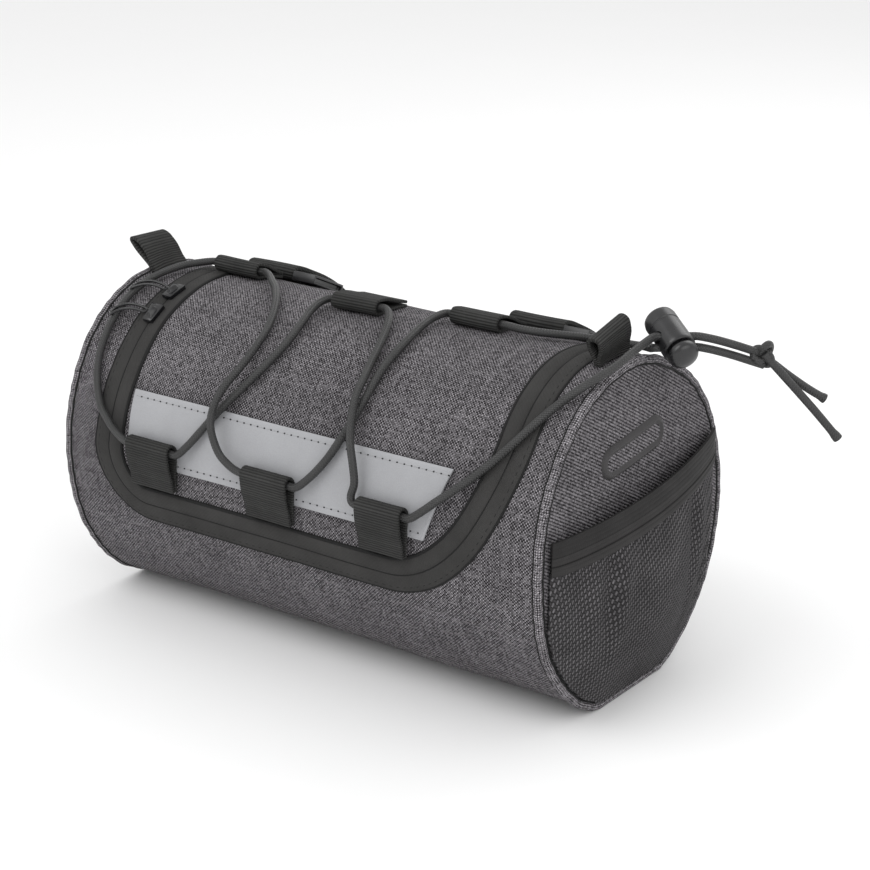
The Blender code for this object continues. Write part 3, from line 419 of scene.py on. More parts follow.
def surface(name, roughness, **sockets):
    """A new material with its graph and its shader, whose plain values are set on its own sockets."""
    material = bpy.data.materials.new(name)
    material.use_nodes = True
    graph = Graph(material.node_tree)
    shader = material.node_tree.nodes["Principled BSDF"]
    shader.inputs["Roughness"].default_value = roughness
    for label, value in sockets.items():
        shader.inputs[label.replace("_", " ").title().replace("Ior", "IOR")].default_value = value
    return material, graph, shader


def placed_group(g, group, **inputs):
    made = g.node("ShaderNodeGroup", node_tree=group)
    for label, value in inputs.items():
        g.feed(made.inputs[label], value)
    return made.outputs


def bump(g, shader, height, distance, strength=1.0):
    made = g.node("ShaderNodeBump", {"Height": height, "Distance": distance, "Strength": strength})
    g.feed(shader.inputs["Normal"], made.outputs["Normal"])


def scaled_colour(g, colour, factor):
    """A colour made lighter or darker by a factor that changes over the surface."""
    made = g.node("ShaderNodeVectorMath", operation="SCALE")
    g.feed(made.inputs[0], colour)
    g.feed(made.inputs["Scale"], factor)
    return made.outputs[0]


def rgba(colour):
    return (*colour, 1.0)


def cloth_material(name, turn, depth=0.0004, light=1.0):
    """Two-tone coarse polyester: pale warp on dark weft, flecked one crossing at a time."""
    material, g, shader = surface(name, 0.92, specular_ior_level=0.12)
    uv = g.node("ShaderNodeUVMap", uv_map="UVMap").outputs["UV"]
    turned = g.node("ShaderNodeMapping", {"Vector": uv, "Rotation": (0.0, 0.0, math.radians(turn))})
    threads = placed_group(g, weave_group(), Vector=turned.outputs[0], Spacing=sizes().thread, Repeat=2.0)
    solid = g.node("ShaderNodeTexCoord").outputs["Object"]
    mottle = placed_group(g, mottle_group(), Vector=solid, Scale=48.0, Low=0.84, High=1.12)["Value"]
    fleck = g.spread(threads["Crossing"], 0.0, 1.0, -0.26, 0.32)
    thread = g.spread(threads["Thread"], 0.0, 1.0, -0.10, 0.12)
    base = g.spread(threads["Warp On Top"], 0.0, 1.0, 0.10, 0.62)
    amount = g.math("ADD", g.math("ADD", base, fleck), thread)
    amount = g.node("ShaderNodeClamp", {"Value": amount}).outputs[0]
    colour = g.mix(amount, rgba(colours().cloth_dark), rgba(colours().cloth_light))
    # painted shade: darker in the low parts between the threads; light scales it up for a lit copy of the cloth, a
    # painted light
    shade = g.spread(threads["Height"], 0.0, 1.0, 0.28 * light, 1.20 * light)
    g.feed(shader.inputs["Base Color"], scaled_colour(g, colour, g.math("MULTIPLY", mottle, shade)))
    bump(g, shader, threads["Height"], depth)
    return material


def end_cloth_material():
    """The same yarns in diagonal ribs, as on the round ends."""
    material, g, shader = surface("heather_end", 0.92, specular_ior_level=0.12)
    uv = g.node("ShaderNodeUVMap", uv_map="UVMap").outputs["UV"]
    turned = g.node("ShaderNodeMapping", {"Vector": uv, "Rotation": (0.0, 0.0, math.radians(END_RIB_TURN))})
    ribs = placed_group(g, rib_group(), Vector=turned.outputs[0], Spacing=sizes().end_rib, Fine=0.3)
    threads = placed_group(g, weave_group(), Vector=turned.outputs[0], Spacing=sizes().thread, Repeat=2.0)
    solid = g.node("ShaderNodeTexCoord").outputs["Object"]
    mottle = placed_group(g, mottle_group(), Vector=solid, Scale=48.0, Low=0.86, High=1.12)["Value"]
    fleck = g.spread(threads["Crossing"], 0.0, 1.0, -0.22, 0.24)
    amount = g.math("ADD", g.spread(ribs["Height"], 0.2, 1.2, -0.05, 0.42), fleck)
    amount = g.node("ShaderNodeClamp", {"Value": amount}).outputs[0]
    colour = g.mix(amount, rgba(colours().cloth_dark), rgba(colours().cloth_light))
    g.feed(shader.inputs["Base Color"], scaled_colour(g, colour, mottle))
    bump(g, shader, ribs["Height"], 0.0004)
    return material


def tape_material():
    """Fine smooth tape with a faint herringbone."""
    material, g, shader = surface("zip_twill", 0.80, specular_ior_level=0.14)
    uv = g.node("ShaderNodeUVMap", uv_map="UVMap").outputs["UV"]
    threads = placed_group(g, weave_group(), Vector=uv, Spacing=sizes().thread * 0.62, Repeat=4.0)
    solid = g.node("ShaderNodeTexCoord").outputs["Object"]
    mottle = placed_group(g, mottle_group(), Vector=solid, Scale=70.0, Low=0.85, High=1.15)["Value"]
    # painted shade: darker in the low parts between the threads
    shade = g.spread(threads["Height"], 0.0, 1.0, 0.78, 1.08)
    g.feed(shader.inputs["Base Color"], scaled_colour(g, colours().tape, g.math("MULTIPLY", mottle, shade)))
    bump(g, shader, threads["Height"], 0.00010)
    return material


def strip_material():
    """Satin light grey tape with fine glass-bead grain."""
    material, g, shader = surface("satin_strip", 0.42, specular_ior_level=0.45)
    solid = g.node("ShaderNodeTexCoord").outputs["Object"]
    grain = g.node("ShaderNodeTexNoise", {"Vector": solid, "Scale": 2600.0, "Detail": 2.0}).outputs["Fac"]
    mottle = placed_group(g, mottle_group(), Vector=solid, Scale=38.0, Low=0.92, High=1.05)["Value"]
    shade = g.math("MULTIPLY", mottle, g.spread(grain, 0.3, 0.7, 0.95, 1.05))
    g.feed(shader.inputs["Base Color"], scaled_colour(g, colours().strip, shade))
    g.feed(shader.inputs["Roughness"], g.spread(mottle, 0.92, 1.05, 0.50, 0.36))
    bump(g, shader, grain, 0.00005)
    return material


def webbing_material():
    """Dark ribbed webbing, with its fine crossing threads."""
    material, g, shader = surface("ribbed_webbing", 0.78, specular_ior_level=0.16)
    uv = g.node("ShaderNodeUVMap", uv_map="UVMap").outputs["UV"]
    ribs = placed_group(g, rib_group(), Vector=uv, Spacing=sizes().rib, Fine=0.35)
    solid = g.node("ShaderNodeTexCoord").outputs["Object"]
    mottle = placed_group(g, mottle_group(), Vector=solid, Scale=90.0, Low=0.85, High=1.20)["Value"]
    # painted shade: darker in the grooves between the ribs, with a random tone for each rib and a mottle
    shade = g.math("MULTIPLY", g.spread(ribs["Height"], 0.2, 1.2, 0.58, 1.40), mottle)
    shade = g.math("MULTIPLY", shade, g.spread(ribs["Shade"], 0.0, 1.0, 0.88, 1.12))
    g.feed(shader.inputs["Base Color"], scaled_colour(g, colours().webbing, shade))
    bump(g, shader, ribs["Height"], 0.00035)
    return material


def braid_material():
    """Braided cover of the elastic: two sets of strands that cross round the cord."""
    material, g, shader = surface("braided_cover", 0.40, specular_ior_level=0.45)
    uv = g.node("ShaderNodeUVMap", uv_map="UVMap").outputs["UV"]
    turned = g.node("ShaderNodeMapping", {"Vector": uv, "Rotation": (0.0, 0.0, math.radians(45.0))})
    threads = placed_group(g, weave_group(), Vector=turned.outputs[0], Spacing=sizes().braid * 0.70, Repeat=2.0)
    solid = g.node("ShaderNodeTexCoord").outputs["Object"]
    mottle = placed_group(g, mottle_group(), Vector=solid, Scale=120.0, Low=0.85, High=1.2)["Value"]
    # painted shade: darker in the hollows between the strands
    shade = g.math("MULTIPLY", g.spread(threads["Height"], 0.0, 1.0, 0.55, 1.35), mottle)
    g.feed(shader.inputs["Base Color"], scaled_colour(g, colours().cord, shade))
    bump(g, shader, threads["Height"], 0.00016)
    return material


def net_material():
    """Fine knitted net: thin threads on a dark ground, the darkness between them painted shade of the holes."""
    material, g, shader = surface("knitted_net", 0.88, specular_ior_level=0.12)
    uv = g.node("ShaderNodeUVMap", uv_map="UVMap").outputs["UV"]
    turned = g.node("ShaderNodeMapping", {"Vector": uv, "Rotation": (0.0, 0.0, math.radians(28.0)),
                                          "Scale": (1.0, 0.62, 1.0)})
    knit = placed_group(g, weave_group(), Vector=turned.outputs[0], Spacing=sizes().net, Repeat=2.0)
    threads = g.math("MULTIPLY", knit["Height"], g.spread(knit["Warp On Top"], 0.0, 1.0, 0.28, 1.0))
    solid = g.node("ShaderNodeTexCoord").outputs["Object"]
    mottle = placed_group(g, mottle_group(), Vector=solid, Scale=60.0, Low=0.75, High=1.25)["Value"]
    cell = g.node("ShaderNodeTexNoise", {"Vector": uv, "Scale": 1100.0, "Detail": 1.0}).outputs["Fac"]
    # painted shade: dark between the threads, where the holes are
    shade = g.math("MULTIPLY", g.spread(threads, 0.0, 1.0, 0.12, 1.60), mottle)
    shade = g.math("MULTIPLY", shade, g.spread(cell, 0.3, 0.7, 0.7, 1.3))
    g.feed(shader.inputs["Base Color"], scaled_colour(g, colours().net, shade))
    bump(g, shader, threads, 0.00040)
    return material


def binding_material():
    """Elastic band, finely ribbed across its length."""
    material, g, shader = surface("ribbed_elastic", 0.74, specular_ior_level=0.18)
    uv = g.node("ShaderNodeUVMap", uv_map="UVMap").outputs["UV"]
    smooth = BINDING_HEIGHT * BINDING_SMOOTH
    groove = (BINDING_HEIGHT - smooth) / BINDING_RIDGES
    lowered_map = g.node("ShaderNodeMapping", {"Vector": uv, "Location": (0.0, -smooth, 0.0)})
    ribs = placed_group(g, rib_group(), Vector=lowered_map.outputs[0], Spacing=groove, Fine=0.15)
    solid = g.node("ShaderNodeTexCoord").outputs["Object"]
    mottle = placed_group(g, mottle_group(), Vector=solid, Scale=70.0, Low=0.85, High=1.2)["Value"]
    across = g.node("ShaderNodeSeparateXYZ", {"Vector": lowered_map.outputs[0]}).outputs["Y"]
    ribbed = g.math("GREATER_THAN", across, -groove * 0.12)
    # painted shade: the grooves between the ribs darker
    dark = g.spread(ribs["Height"], 0.05, 0.75, 0.30, 1.20)
    shade = g.math("MULTIPLY", g.blend(ribbed, 0.92, dark), mottle)
    g.feed(shader.inputs["Base Color"], scaled_colour(g, colours().binding, shade))
    bump(g, shader, ribs["Height"], 0.00020)
    return material


def moulded_material(name, colour, roughness, grain, **sockets):
    """Moulded or cast surface with fine grain, and roughness that varies with handling."""
    material, g, shader = surface(name, roughness, **sockets)
    solid = g.node("ShaderNodeTexCoord").outputs["Object"]
    noise = g.node("ShaderNodeTexNoise", {"Vector": solid, "Scale": 1800.0, "Detail": 3.0}).outputs["Fac"]
    mottle = placed_group(g, mottle_group(), Vector=solid, Scale=150.0, Low=0.85, High=1.15)["Value"]
    g.feed(shader.inputs["Base Color"], scaled_colour(g, colour, mottle))
    g.feed(shader.inputs["Roughness"], g.math("MULTIPLY", mottle, roughness))
    bump(g, shader, noise, grain)
    return material


def thread_material(name, colour):
    """Twisted sewing thread."""
    material, g, shader = surface(name, 0.7, specular_ior_level=0.2)
    solid = g.node("ShaderNodeTexCoord").outputs["Object"]
    twist = g.node("ShaderNodeTexWave", {"Vector": solid, "Scale": 1200.0, "Distortion": 1.0}).outputs["Fac"]
    # painted shade: darker in the grooves of the twist
    g.feed(shader.inputs["Base Color"], scaled_colour(g, colour, g.spread(twist, 0.0, 1.0, 0.75, 1.1)))
    bump(g, shader, twist, 0.00004)
    return material


MADE = {}


def finish(name):
    """The named finish, made the first time that it is asked for."""
    c = colours()
    makers = {
        "heather_barrel": lambda: cloth_material("heather_barrel", 0.0),
        "heather_end": end_cloth_material,
        # the barrel's cloth at 45 degrees, made 1.1 times lighter: painted light on the proud piping
        "heather_piping_painted_light": lambda: cloth_material("heather_piping_painted_light", 45.0, 0.0002, 1.1),
        "zip_twill": tape_material,
        "satin_strip": strip_material,
        "ribbed_webbing": webbing_material,
        "braided_cover": braid_material,
        "knitted_net": net_material,
        "ribbed_elastic": binding_material,
        "soft_rubber": lambda: moulded_material("soft_rubber", c.patch, 0.60, 0.00005, specular_ior_level=0.25),
        "moulded_plastic": lambda: moulded_material("moulded_plastic", c.plastic, 0.30, 0.00002,
                                                    specular_ior_level=0.55),
        "black_enamel": lambda: moulded_material("black_enamel", c.metal, 0.26, 0.00001, coat_weight=0.15,
                                                 coat_roughness=0.08),
        "pale_thread": lambda: thread_material("pale_thread", (0.38, 0.38, 0.39)),
        # dark sewing thread, also used for the painted shade in the seams and in the strip's needle holes
        "dark_thread_and_shade": lambda: thread_material("dark_thread_and_shade", (0.012, 0.012, 0.012)),
    }
    if name not in MADE:
        MADE[name] = makers[name]()
    return MADE[name]


# Shapes of the bag, as in the solids

def spline(before, start, end, after, share):
    """Catmull-Rom value between start and end."""
    return 0.5 * (2 * start + (end - before) * share
                  + (2 * before - 5 * start + 4 * end - after) * share ** 2
                  + (3 * start - before - 3 * end + after) * share ** 3)


def section_radius(angle):
    place = (angle % 360.0) / SECTION_STEP
    first = int(place) % len(SECTION)
    shares = [SECTION[(first + k) % len(SECTION)] for k in (-1, 0, 1, 2)]
    return BODY_RADIUS * spline(*shares, place - int(place))


def softness(x, angle):
    """Soft undulation of the cloth, with small gathers beside both end seams."""
    turn = math.radians(angle)
    broad = math.sin(x * 63 + 2.1 * math.sin(turn * 2)) * math.sin(turn * 5 + x * 21)
    broad += 0.6 * math.sin(x * 118 - turn * 3.0) * math.sin(turn * 9 + 1.3)
    to_seam = SEAM_HALF_LENGTH - abs(x)
    gather = math.sin(turn * 47 + math.sin(turn * 11) * 2) * math.exp(-max(to_seam, 0.0) / 0.007)
    return sizes().wrinkle * (0.55 * broad + 0.45 * gather)


def on_barrel(x, angle, lift=0.0):
    """Point at a lift above the barrel's cloth. The underside is pressed flat where it rests."""
    turn = math.radians(angle)
    radius = section_radius(angle) + lift + softness(x, angle)
    height = AXIS_HEIGHT + radius * math.cos(turn)
    return Vector((x, -radius * math.sin(turn), max(height, lift if lift > 0 else 0.0)))


def arc_angle(length):
    return math.degrees(length / BODY_RADIUS)


def lid_bottom():
    return math.radians(LID_BOTTOM_ANGLE) * BODY_RADIUS


def hinge_line():
    return math.radians(HINGE_ANGLE) * BODY_RADIUS


def side_rows():
    return sizes().fineness


def lid_rows():
    return sizes().fineness + CORNER_ROWS


CORNER_ROWS = 20


def outline_side(side, row, outset):
    """Point on the lid's outline, outset outwards: x and length round the barrel."""
    left = side < 0
    edge = (LID_LEFT if left else LID_RIGHT) + side * outset
    width, height = LEFT_CORNER if left else RIGHT_CORNER
    width += outset
    height += outset
    waist = LEFT_WAIST if left else RIGHT_WAIST
    corner_start = lid_bottom() + outset - height
    if row <= side_rows():
        share = row / side_rows()
        length = hinge_line() + (corner_start - hinge_line()) * share
        return edge - side * waist * math.sin(math.pi * share), length
    turn = math.pi / 2 * (row - side_rows()) / CORNER_ROWS
    across = max(math.cos(turn), 0.0) ** (2 / CORNER_FULLNESS)
    down = math.sin(turn) ** (2 / CORNER_FULLNESS)
    return edge - side * width * (1 - across), corner_start + height * down


def outline_point(index, bottom_columns, outset):
    """Point number index round the U of the outline, from the hinge's left to its right."""
    rows = lid_rows()
    if index <= rows:
        return outline_side(-1, index, outset)
    if index >= rows + bottom_columns:
        return outline_side(1, 2 * rows + bottom_columns - index, outset)
    left, length = outline_side(-1, rows, outset)
    right = outline_side(1, rows, outset)[0]
    return left + (right - left) * (index - rows) / bottom_columns, length


def wrapped(x, length, lift=0.0):
    return on_barrel(x, arc_angle(length), lift)


def piping_middle(angle, side):
    """Middle of the piping: it stands proud of the cloth, and lies level with it underneath."""
    point = on_barrel(side * SEAM_HALF_LENGTH, angle, PIPING_PROUD - PIPING_RADIUS)
    point.z = max(point.z, PIPING_RADIUS)
    return point


def panel_edge(angle):
    """Edge of the end panel: y and z inside the piping."""
    middle = piping_middle(angle, 1)
    inwards = Vector((0.0, 0.0, AXIS_HEIGHT)) - Vector((0.0, middle.y, middle.z))
    edge = Vector((0.0, middle.y, middle.z)) + inwards.normalized() * (PIPING_RADIUS + GAP / 3)
    return edge.y, edge.z


def panel_face(y, z):
    share = min(1.0, math.hypot(y, z - AXIS_HEIGHT) / BODY_RADIUS)
    return SEAM_HALF_LENGTH + PANEL_EDGE_INSET + PANEL_DOME * (1 - share ** 2)


def panel_soft(y, z):
    """Slight waves of the end panel."""
    wave = math.sin(y * 90 + 0.7) * math.sin((z - AXIS_HEIGHT) * 70 + 1.1)
    return 0.00035 * wave * (1 - min(1.0, math.hypot(y, z - AXIS_HEIGHT) / BODY_RADIUS) ** 4)


def pocket_rim(y):
    """Height of the end panel's lower edge at y."""
    low, high = (90.0, 180.0) if y < 0 else (180.0, 270.0)
    for step in range(24):
        middle = (low + high) / 2
        if panel_edge(middle)[0] < y:
            low = middle
        else:
            high = middle
    return panel_edge(low)[1]


POCKET_FOLDS = (
    # share from front to back, share of depth, width, height, depth of the fold
    (0.24, 0.12, 0.035, 0.45, -1.0),
    (0.30, 0.16, 0.042, 0.50, 0.7),
    (0.76, 0.12, 0.032, 0.40, -1.0),
    (0.82, 0.20, 0.042, 0.50, 0.6),
    (0.12, 0.30, 0.050, 0.60, -0.6),
    (0.55, 0.55, 0.120, 0.40, 0.5),
)


def pocket_point(share, drop, depth=None):
    """Point of the pocket, from front to back by share, and a drop or a share of its depth down."""
    y = POCKET_FRONT_Y + (POCKET_BACK_Y - POCKET_FRONT_Y) * share
    top = AXIS_HEIGHT + POCKET_FRONT_Z + (POCKET_BACK_Z - POCKET_FRONT_Z) * share
    top -= POCKET_DIP * math.sin(math.pi * share)
    rim = RIMS(y) + 2 * GAP
    if depth is not None:
        drop = drop + (top - drop - rim) * depth
    down = min(1.0, drop / (top - rim))
    across = math.sin(math.pi * min(1.0, max(0.0, share))) ** 0.6
    off = POCKET_STAND_OFF * (1 - down) ** 1.4 + POCKET_BELLY * math.sin(math.pi * min(1.0, down)) ** 0.9
    fold = 0.0
    if depth is not None:
        for at, level, width, tall, size in POCKET_FOLDS:
            fold += size * math.exp(-((share - at) / width) ** 2 - ((depth - level) / tall) ** 2)
        fold += 0.22 * math.sin(depth * 46 + share * 9) * math.exp(-((share - 0.93) / 0.09) ** 2)
        fold *= sizes().fold * math.sin(math.pi * min(1.0, max(0.0, depth))) ** 0.4
    return Vector((panel_face(y, top - drop) + GAP + max(across * off + fold, 0.0004), y, top - drop))


RIM_CACHE = {}


def RIMS(y):
    key = round(y, 6)
    if key not in RIM_CACHE:
        RIM_CACHE[key] = pocket_rim(y)
    return RIM_CACHE[key]


# Modelling

def deselect():
    for item in list(bpy.context.selected_objects):
        item.select_set(False)


def activate(item):
    deselect()
    item.select_set(True)
    bpy.context.view_layer.objects.active = item


def apply_modifiers(item):
    activate(item)
    for modifier in list(item.modifiers):
        bpy.ops.object.modifier_apply(modifier=modifier.name)


def settle(item):
    """Puts the piece's place into its mesh, so that its object sits at the origin."""
    activate(item)
    bpy.ops.object.transform_apply(location=True, rotation=True, scale=True)


def dress(item, material, slot, *nodes, angle=40.0):
    """Finish, smooth shading, body and the solids that the piece stands for."""
    item.data.materials.clear()
    item.data.materials.append(finish(material))
    activate(item)
    bpy.ops.object.shade_smooth_by_angle(angle=math.radians(angle))
    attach(item, "root")
    if nodes:
        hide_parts(*nodes)
    return item


def sheet(name, columns, rows, place, uv, wall, grow=-1.0, centre=None, leave_out=None, round_edge=0.0):
    """A grid placed point by point like sculpted cloth, with its threads' map, then given its wall."""
    deselect()
    bpy.ops.mesh.primitive_grid_add(x_subdivisions=columns, y_subdivisions=rows, size=2.0, location=(0, 0, 0))
    item = bpy.context.object
    item.name = name
    item.data.name = name
    bm = bmesh.new()
    bm.from_mesh(item.data)
    layer = bm.loops.layers.uv.verify()
    for vert in bm.verts:
        column = round((vert.co.x + 1.0) / 2.0 * columns)
        row = round((vert.co.y + 1.0) / 2.0 * rows)
        vert.index = row * (columns + 1) + column
    places = {}
    for vert in bm.verts:
        places[vert.index] = place(vert.index % (columns + 1), vert.index // (columns + 1))
    for face in bm.faces:
        for loop in face.loops:
            loop[layer].uv = uv(loop.vert.index % (columns + 1), loop.vert.index // (columns + 1))
    if leave_out:
        cut = []
        for face in bm.faces:
            lowest = min(vert.index for vert in face.verts)
            if leave_out(lowest % (columns + 1), lowest // (columns + 1)):
                cut.append(face)
    for vert in bm.verts:
        vert.co = places[vert.index]
    if leave_out:
        bmesh.ops.delete(bm, geom=cut, context="FACES")
    bmesh.ops.remove_doubles(bm, verts=bm.verts, dist=1e-6)
    bm.normal_update()
    bmesh.ops.recalc_face_normals(bm, faces=bm.faces)
    probe = max(bm.faces, key=lambda face: face.calc_area())
    middle = probe.calc_center_median()
    origin = centre if centre is not None else Vector((middle.x, 0.0, AXIS_HEIGHT))
    if probe.normal.dot(middle - origin) < 0:
        bmesh.ops.reverse_faces(bm, faces=bm.faces)
    bm.to_mesh(item.data)
    bm.free()
    solidify = item.modifiers.new("Wall", "SOLIDIFY")
    solidify.thickness = wall
    solidify.offset = grow
    solidify.use_even_offset = True
    if round_edge:
        bevel = item.modifiers.new("Round edge", "BEVEL")
        bevel.width = round_edge
        bevel.segments = 2
        bevel.limit_method = "ANGLE"
        bevel.angle_limit = math.radians(55)
    apply_modifiers(item)
    return item


def smooth_path(points, parts=6, closed=False):
    """Points along a smooth curve through the given ones."""
    if closed:
        ends = [points[-1]] + points + [points[0], points[1]]
    else:
        ends = [points[0] * 2 - points[1]] + points + [points[-1] * 2 - points[-2]]
    fine = []
    for k in range(1, len(ends) - 2):
        for part in range(parts):
            fine.append(spline(ends[k - 1], ends[k], ends[k + 1], ends[k + 2], part / parts))
    if not closed:
        fine.append(points[-1])
    return fine


def tube(name, path, radius, sides=16, closed=False, flare=None, squeeze=None):
    """A round cord along a path. flare(share) gives the radius's factor from start to end."""
    count = len(path)
    tangents = []
    for k in range(count):
        before = path[k - 1] if closed or k else path[0]
        after = path[(k + 1) % count] if closed or k < count - 1 else path[-1]
        tangents.append((after - before).normalized())
    normal = tangents[0].orthogonal().normalized()
    frames = []
    for k in range(count):
        normal = (normal - tangents[k] * normal.dot(tangents[k])).normalized()
        frames.append((normal.copy(), tangents[k].cross(normal)))
    if closed:
        last = frames[-1][0]
        last = (last - tangents[0] * last.dot(tangents[0])).normalized()
        first_normal, first_across = frames[0]
        slip = math.atan2(last.dot(first_across), last.dot(first_normal))
    lengths = [0.0]
    for k in range(1, count + (1 if closed else 0)):
        lengths.append(lengths[-1] + (path[k % count] - path[k - 1]).length)
    rows = count if closed else count - 1

    def place(column, row):
        k = row % count
        turn = 2 * math.pi * (column % sides) / sides
        if closed:
            turn += -slip * row / count if row < count else 0.0
        size = radius * (flare(row / rows) if flare else 1.0)
        one, two = frames[k]
        return path[k] + one * (math.cos(turn) * size) + two * (math.sin(turn) * size)

    def uv(column, row):
        return 2 * math.pi * radius * column / sides, lengths[row]

    deselect()
    bpy.ops.mesh.primitive_grid_add(x_subdivisions=sides, y_subdivisions=rows, size=2.0, location=(0, 0, 0))
    item = bpy.context.object
    item.name = name
    item.data.name = name
    bm = bmesh.new()
    bm.from_mesh(item.data)
    layer = bm.loops.layers.uv.verify()
    for vert in bm.verts:
        column = round((vert.co.x + 1.0) / 2.0 * sides)
        row = round((vert.co.y + 1.0) / 2.0 * rows)
        vert.index = row * (sides + 1) + column
    for face in bm.faces:
        for loop in face.loops:
            loop[layer].uv = uv(loop.vert.index % (sides + 1), loop.vert.index // (sides + 1))
    for vert in bm.verts:
        vert.co = place(vert.index % (sides + 1), vert.index // (sides + 1))
    bmesh.ops.remove_doubles(bm, verts=bm.verts, dist=1e-6)
    if not closed:
        rims = [edge for edge in bm.edges if edge.is_boundary]
        bmesh.ops.holes_fill(bm, edges=rims, sides=0)
    bm.normal_update()
    bmesh.ops.recalc_face_normals(bm, faces=bm.faces)
    bm.to_mesh(item.data)
    bm.free()
    return item


def turned_piece(name, profile, start, axis, sides=40):
    """A disc extruded and resized ring by ring through (along, radius), then stood on its axis."""
    deselect()
    bpy.ops.mesh.primitive_circle_add(vertices=sides, radius=profile[0][1], fill_type="NGON",
                                      location=(0, 0, profile[0][0]))
    item = bpy.context.object
    item.name = name
    item.data.name = name
    settle(item)
    bpy.ops.object.mode_set(mode="EDIT")
    bpy.ops.mesh.select_all(action="SELECT")
    for (before, old), (along, radius) in zip(profile, profile[1:]):
        bpy.ops.mesh.extrude_region_move(TRANSFORM_OT_translate={"value": (0, 0, along - before)})
        factor = radius / old
        bpy.ops.transform.resize(value=(factor, factor, 1.0), center_override=(0.0, 0.0, 0.0))
    bpy.ops.mesh.select_all(action="SELECT")
    bpy.ops.mesh.normals_make_consistent(inside=False)
    bpy.ops.object.mode_set(mode="OBJECT")
    turn = Vector((0.0, 0.0, 1.0)).rotation_difference(axis).to_matrix().to_4x4()
    item.matrix_world = Matrix.Translation(start) @ turn
    settle(item)
    return item


def select_faces(item, test):
    """Selects, in edit mode, the faces whose middle and normal pass the test."""
    bm = bmesh.from_edit_mesh(item.data)
    bpy.context.tool_settings.mesh_select_mode = (False, False, True)
    for face in bm.faces:
        face.select_set(bool(test(face.calc_center_median(), face.normal)))
    bm.select_flush_mode()
    bmesh.update_edit_mesh(item.data)


def box_piece(name, size):
    """A cube of the given size at the origin, left in edit mode with its faces unselected."""
    deselect()
    bpy.ops.mesh.primitive_cube_add(size=1.0, location=(0, 0, 0))
    item = bpy.context.object
    item.name = name
    item.data.name = name
    item.scale = size
    settle(item)
    bpy.ops.object.mode_set(mode="EDIT")
    bpy.ops.mesh.select_all(action="DESELECT")
    return item


def end_edit(item, bevel, segments=2):
    """Leaves edit mode, rounds the sharp edges and applies the rounding."""
    bpy.ops.mesh.select_all(action="SELECT")
    bpy.ops.mesh.normals_make_consistent(inside=False)
    bpy.ops.object.mode_set(mode="OBJECT")
    edges = item.modifiers.new("Edges", "BEVEL")
    edges.width = bevel
    edges.segments = segments
    edges.limit_method = "ANGLE"
    edges.angle_limit = math.radians(35)
    apply_modifiers(item)


def stand(item, place, along, left, out):
    """Moves a piece from the origin to its place and axes, and keeps the place in its mesh."""
    item.matrix_world = Matrix.Translation(place) @ Matrix((along, left, out)).transposed().to_4x4()
    settle(item)


# Stage

def make_camera():
    data = bpy.data.cameras.new("camera")
    data.lens = CAMERA_LENS
    data.sensor_width = CAMERA_SENSOR
    data.clip_start = 0.01
    camera = bpy.data.objects.new("camera", data)
    bpy.context.scene.collection.objects.link(camera)
    azimuth, elevation = math.radians(CAMERA_AZIMUTH), math.radians(CAMERA_ELEVATION)
    back = Vector((math.sin(azimuth) * math.cos(elevation), -math.cos(azimuth) * math.cos(elevation),
                   math.sin(elevation)))
    camera.location = CAMERA_PLACE
    camera.rotation_mode = "QUATERNION"
    camera.rotation_quaternion = back.to_track_quat("Z", "Y")
    bpy.context.scene.camera = camera


def make_light(name, place, size, power, target=(0.0, 0.0, 0.06)):
    data = bpy.data.lights.new(name, "AREA")
    data.shape = "DISK"
    data.size = size
    data.energy = power
    light = bpy.data.objects.new(name, data)
    bpy.context.scene.collection.objects.link(light)
    light.location = place
    light.rotation_mode = "QUATERNION"
    light.rotation_quaternion = (Vector(place) - Vector(target)).to_track_quat("Z", "Y")


class BAG_OT_stage(bpy.types.Operator):
    """Pale floor, soft studio light and the camera"""
    bl_idname = "bag.stage"
    bl_label = "Stage"

    def execute(self, context):
        make_camera()
        make_light("key", (-0.35, -0.75, 1.05), 0.9, 5.0)
        make_light("fill", (0.95, -0.35, 0.55), 0.9, 2.6)
        make_light("back", (0.1, 0.9, 0.9), 0.8, 2.6)
        world = bpy.data.worlds.new("studio")
        world.use_nodes = True
        world.node_tree.nodes["Background"].inputs["Color"].default_value = (1.0, 1.0, 1.0, 1.0)
        world.node_tree.nodes["Background"].inputs["Strength"].default_value = 0.93
        context.scene.world = world
        context.scene.view_settings.view_transform = "Standard"
        deselect()
        bpy.ops.mesh.primitive_plane_add(size=12.0, location=(0, 0, 0))
        floor = context.object
        floor.name = "floor"
        material, g, shader = surface("pale_floor", 0.9)
        solid = g.node("ShaderNodeTexCoord").outputs["Object"]
        mottle = placed_group(g, mottle_group(), Vector=solid, Scale=3.0, Low=0.99, High=1.0)["Value"]
        g.feed(shader.inputs["Base Color"], scaled_colour(g, colours().floor, mottle))
        floor.data.materials.append(material)
        return {"FINISHED"}


# Cords

def cord_axis():
    return Vector(CORD_DIRECTION).normalized()


def lock_point(share, side=0.0, aside=0.0):
    """Point on the lock's axis from its far end, with side along the cords' hole."""
    start = Vector(LOCK_END) + Vector((0.0, 0.0, AXIS_HEIGHT))
    axis = Vector(LOCK_DIRECTION).normalized()
    return start + axis * (LOCK_LENGTH * share) + cord_axis() * side + Vector((0.0, 0.0, aside))


def knot_middle():
    along = TAIL_LENGTH + LOCK_RADIUS + GAP + KNOT_LENGTH / 2
    return lock_point(LOCK_HOLE_SHARE, along) - Vector((0.0, 0.0, TAIL_SAG))


def path_length(path):
    return sum((b - a).length for a, b in zip(path, path[1:]))


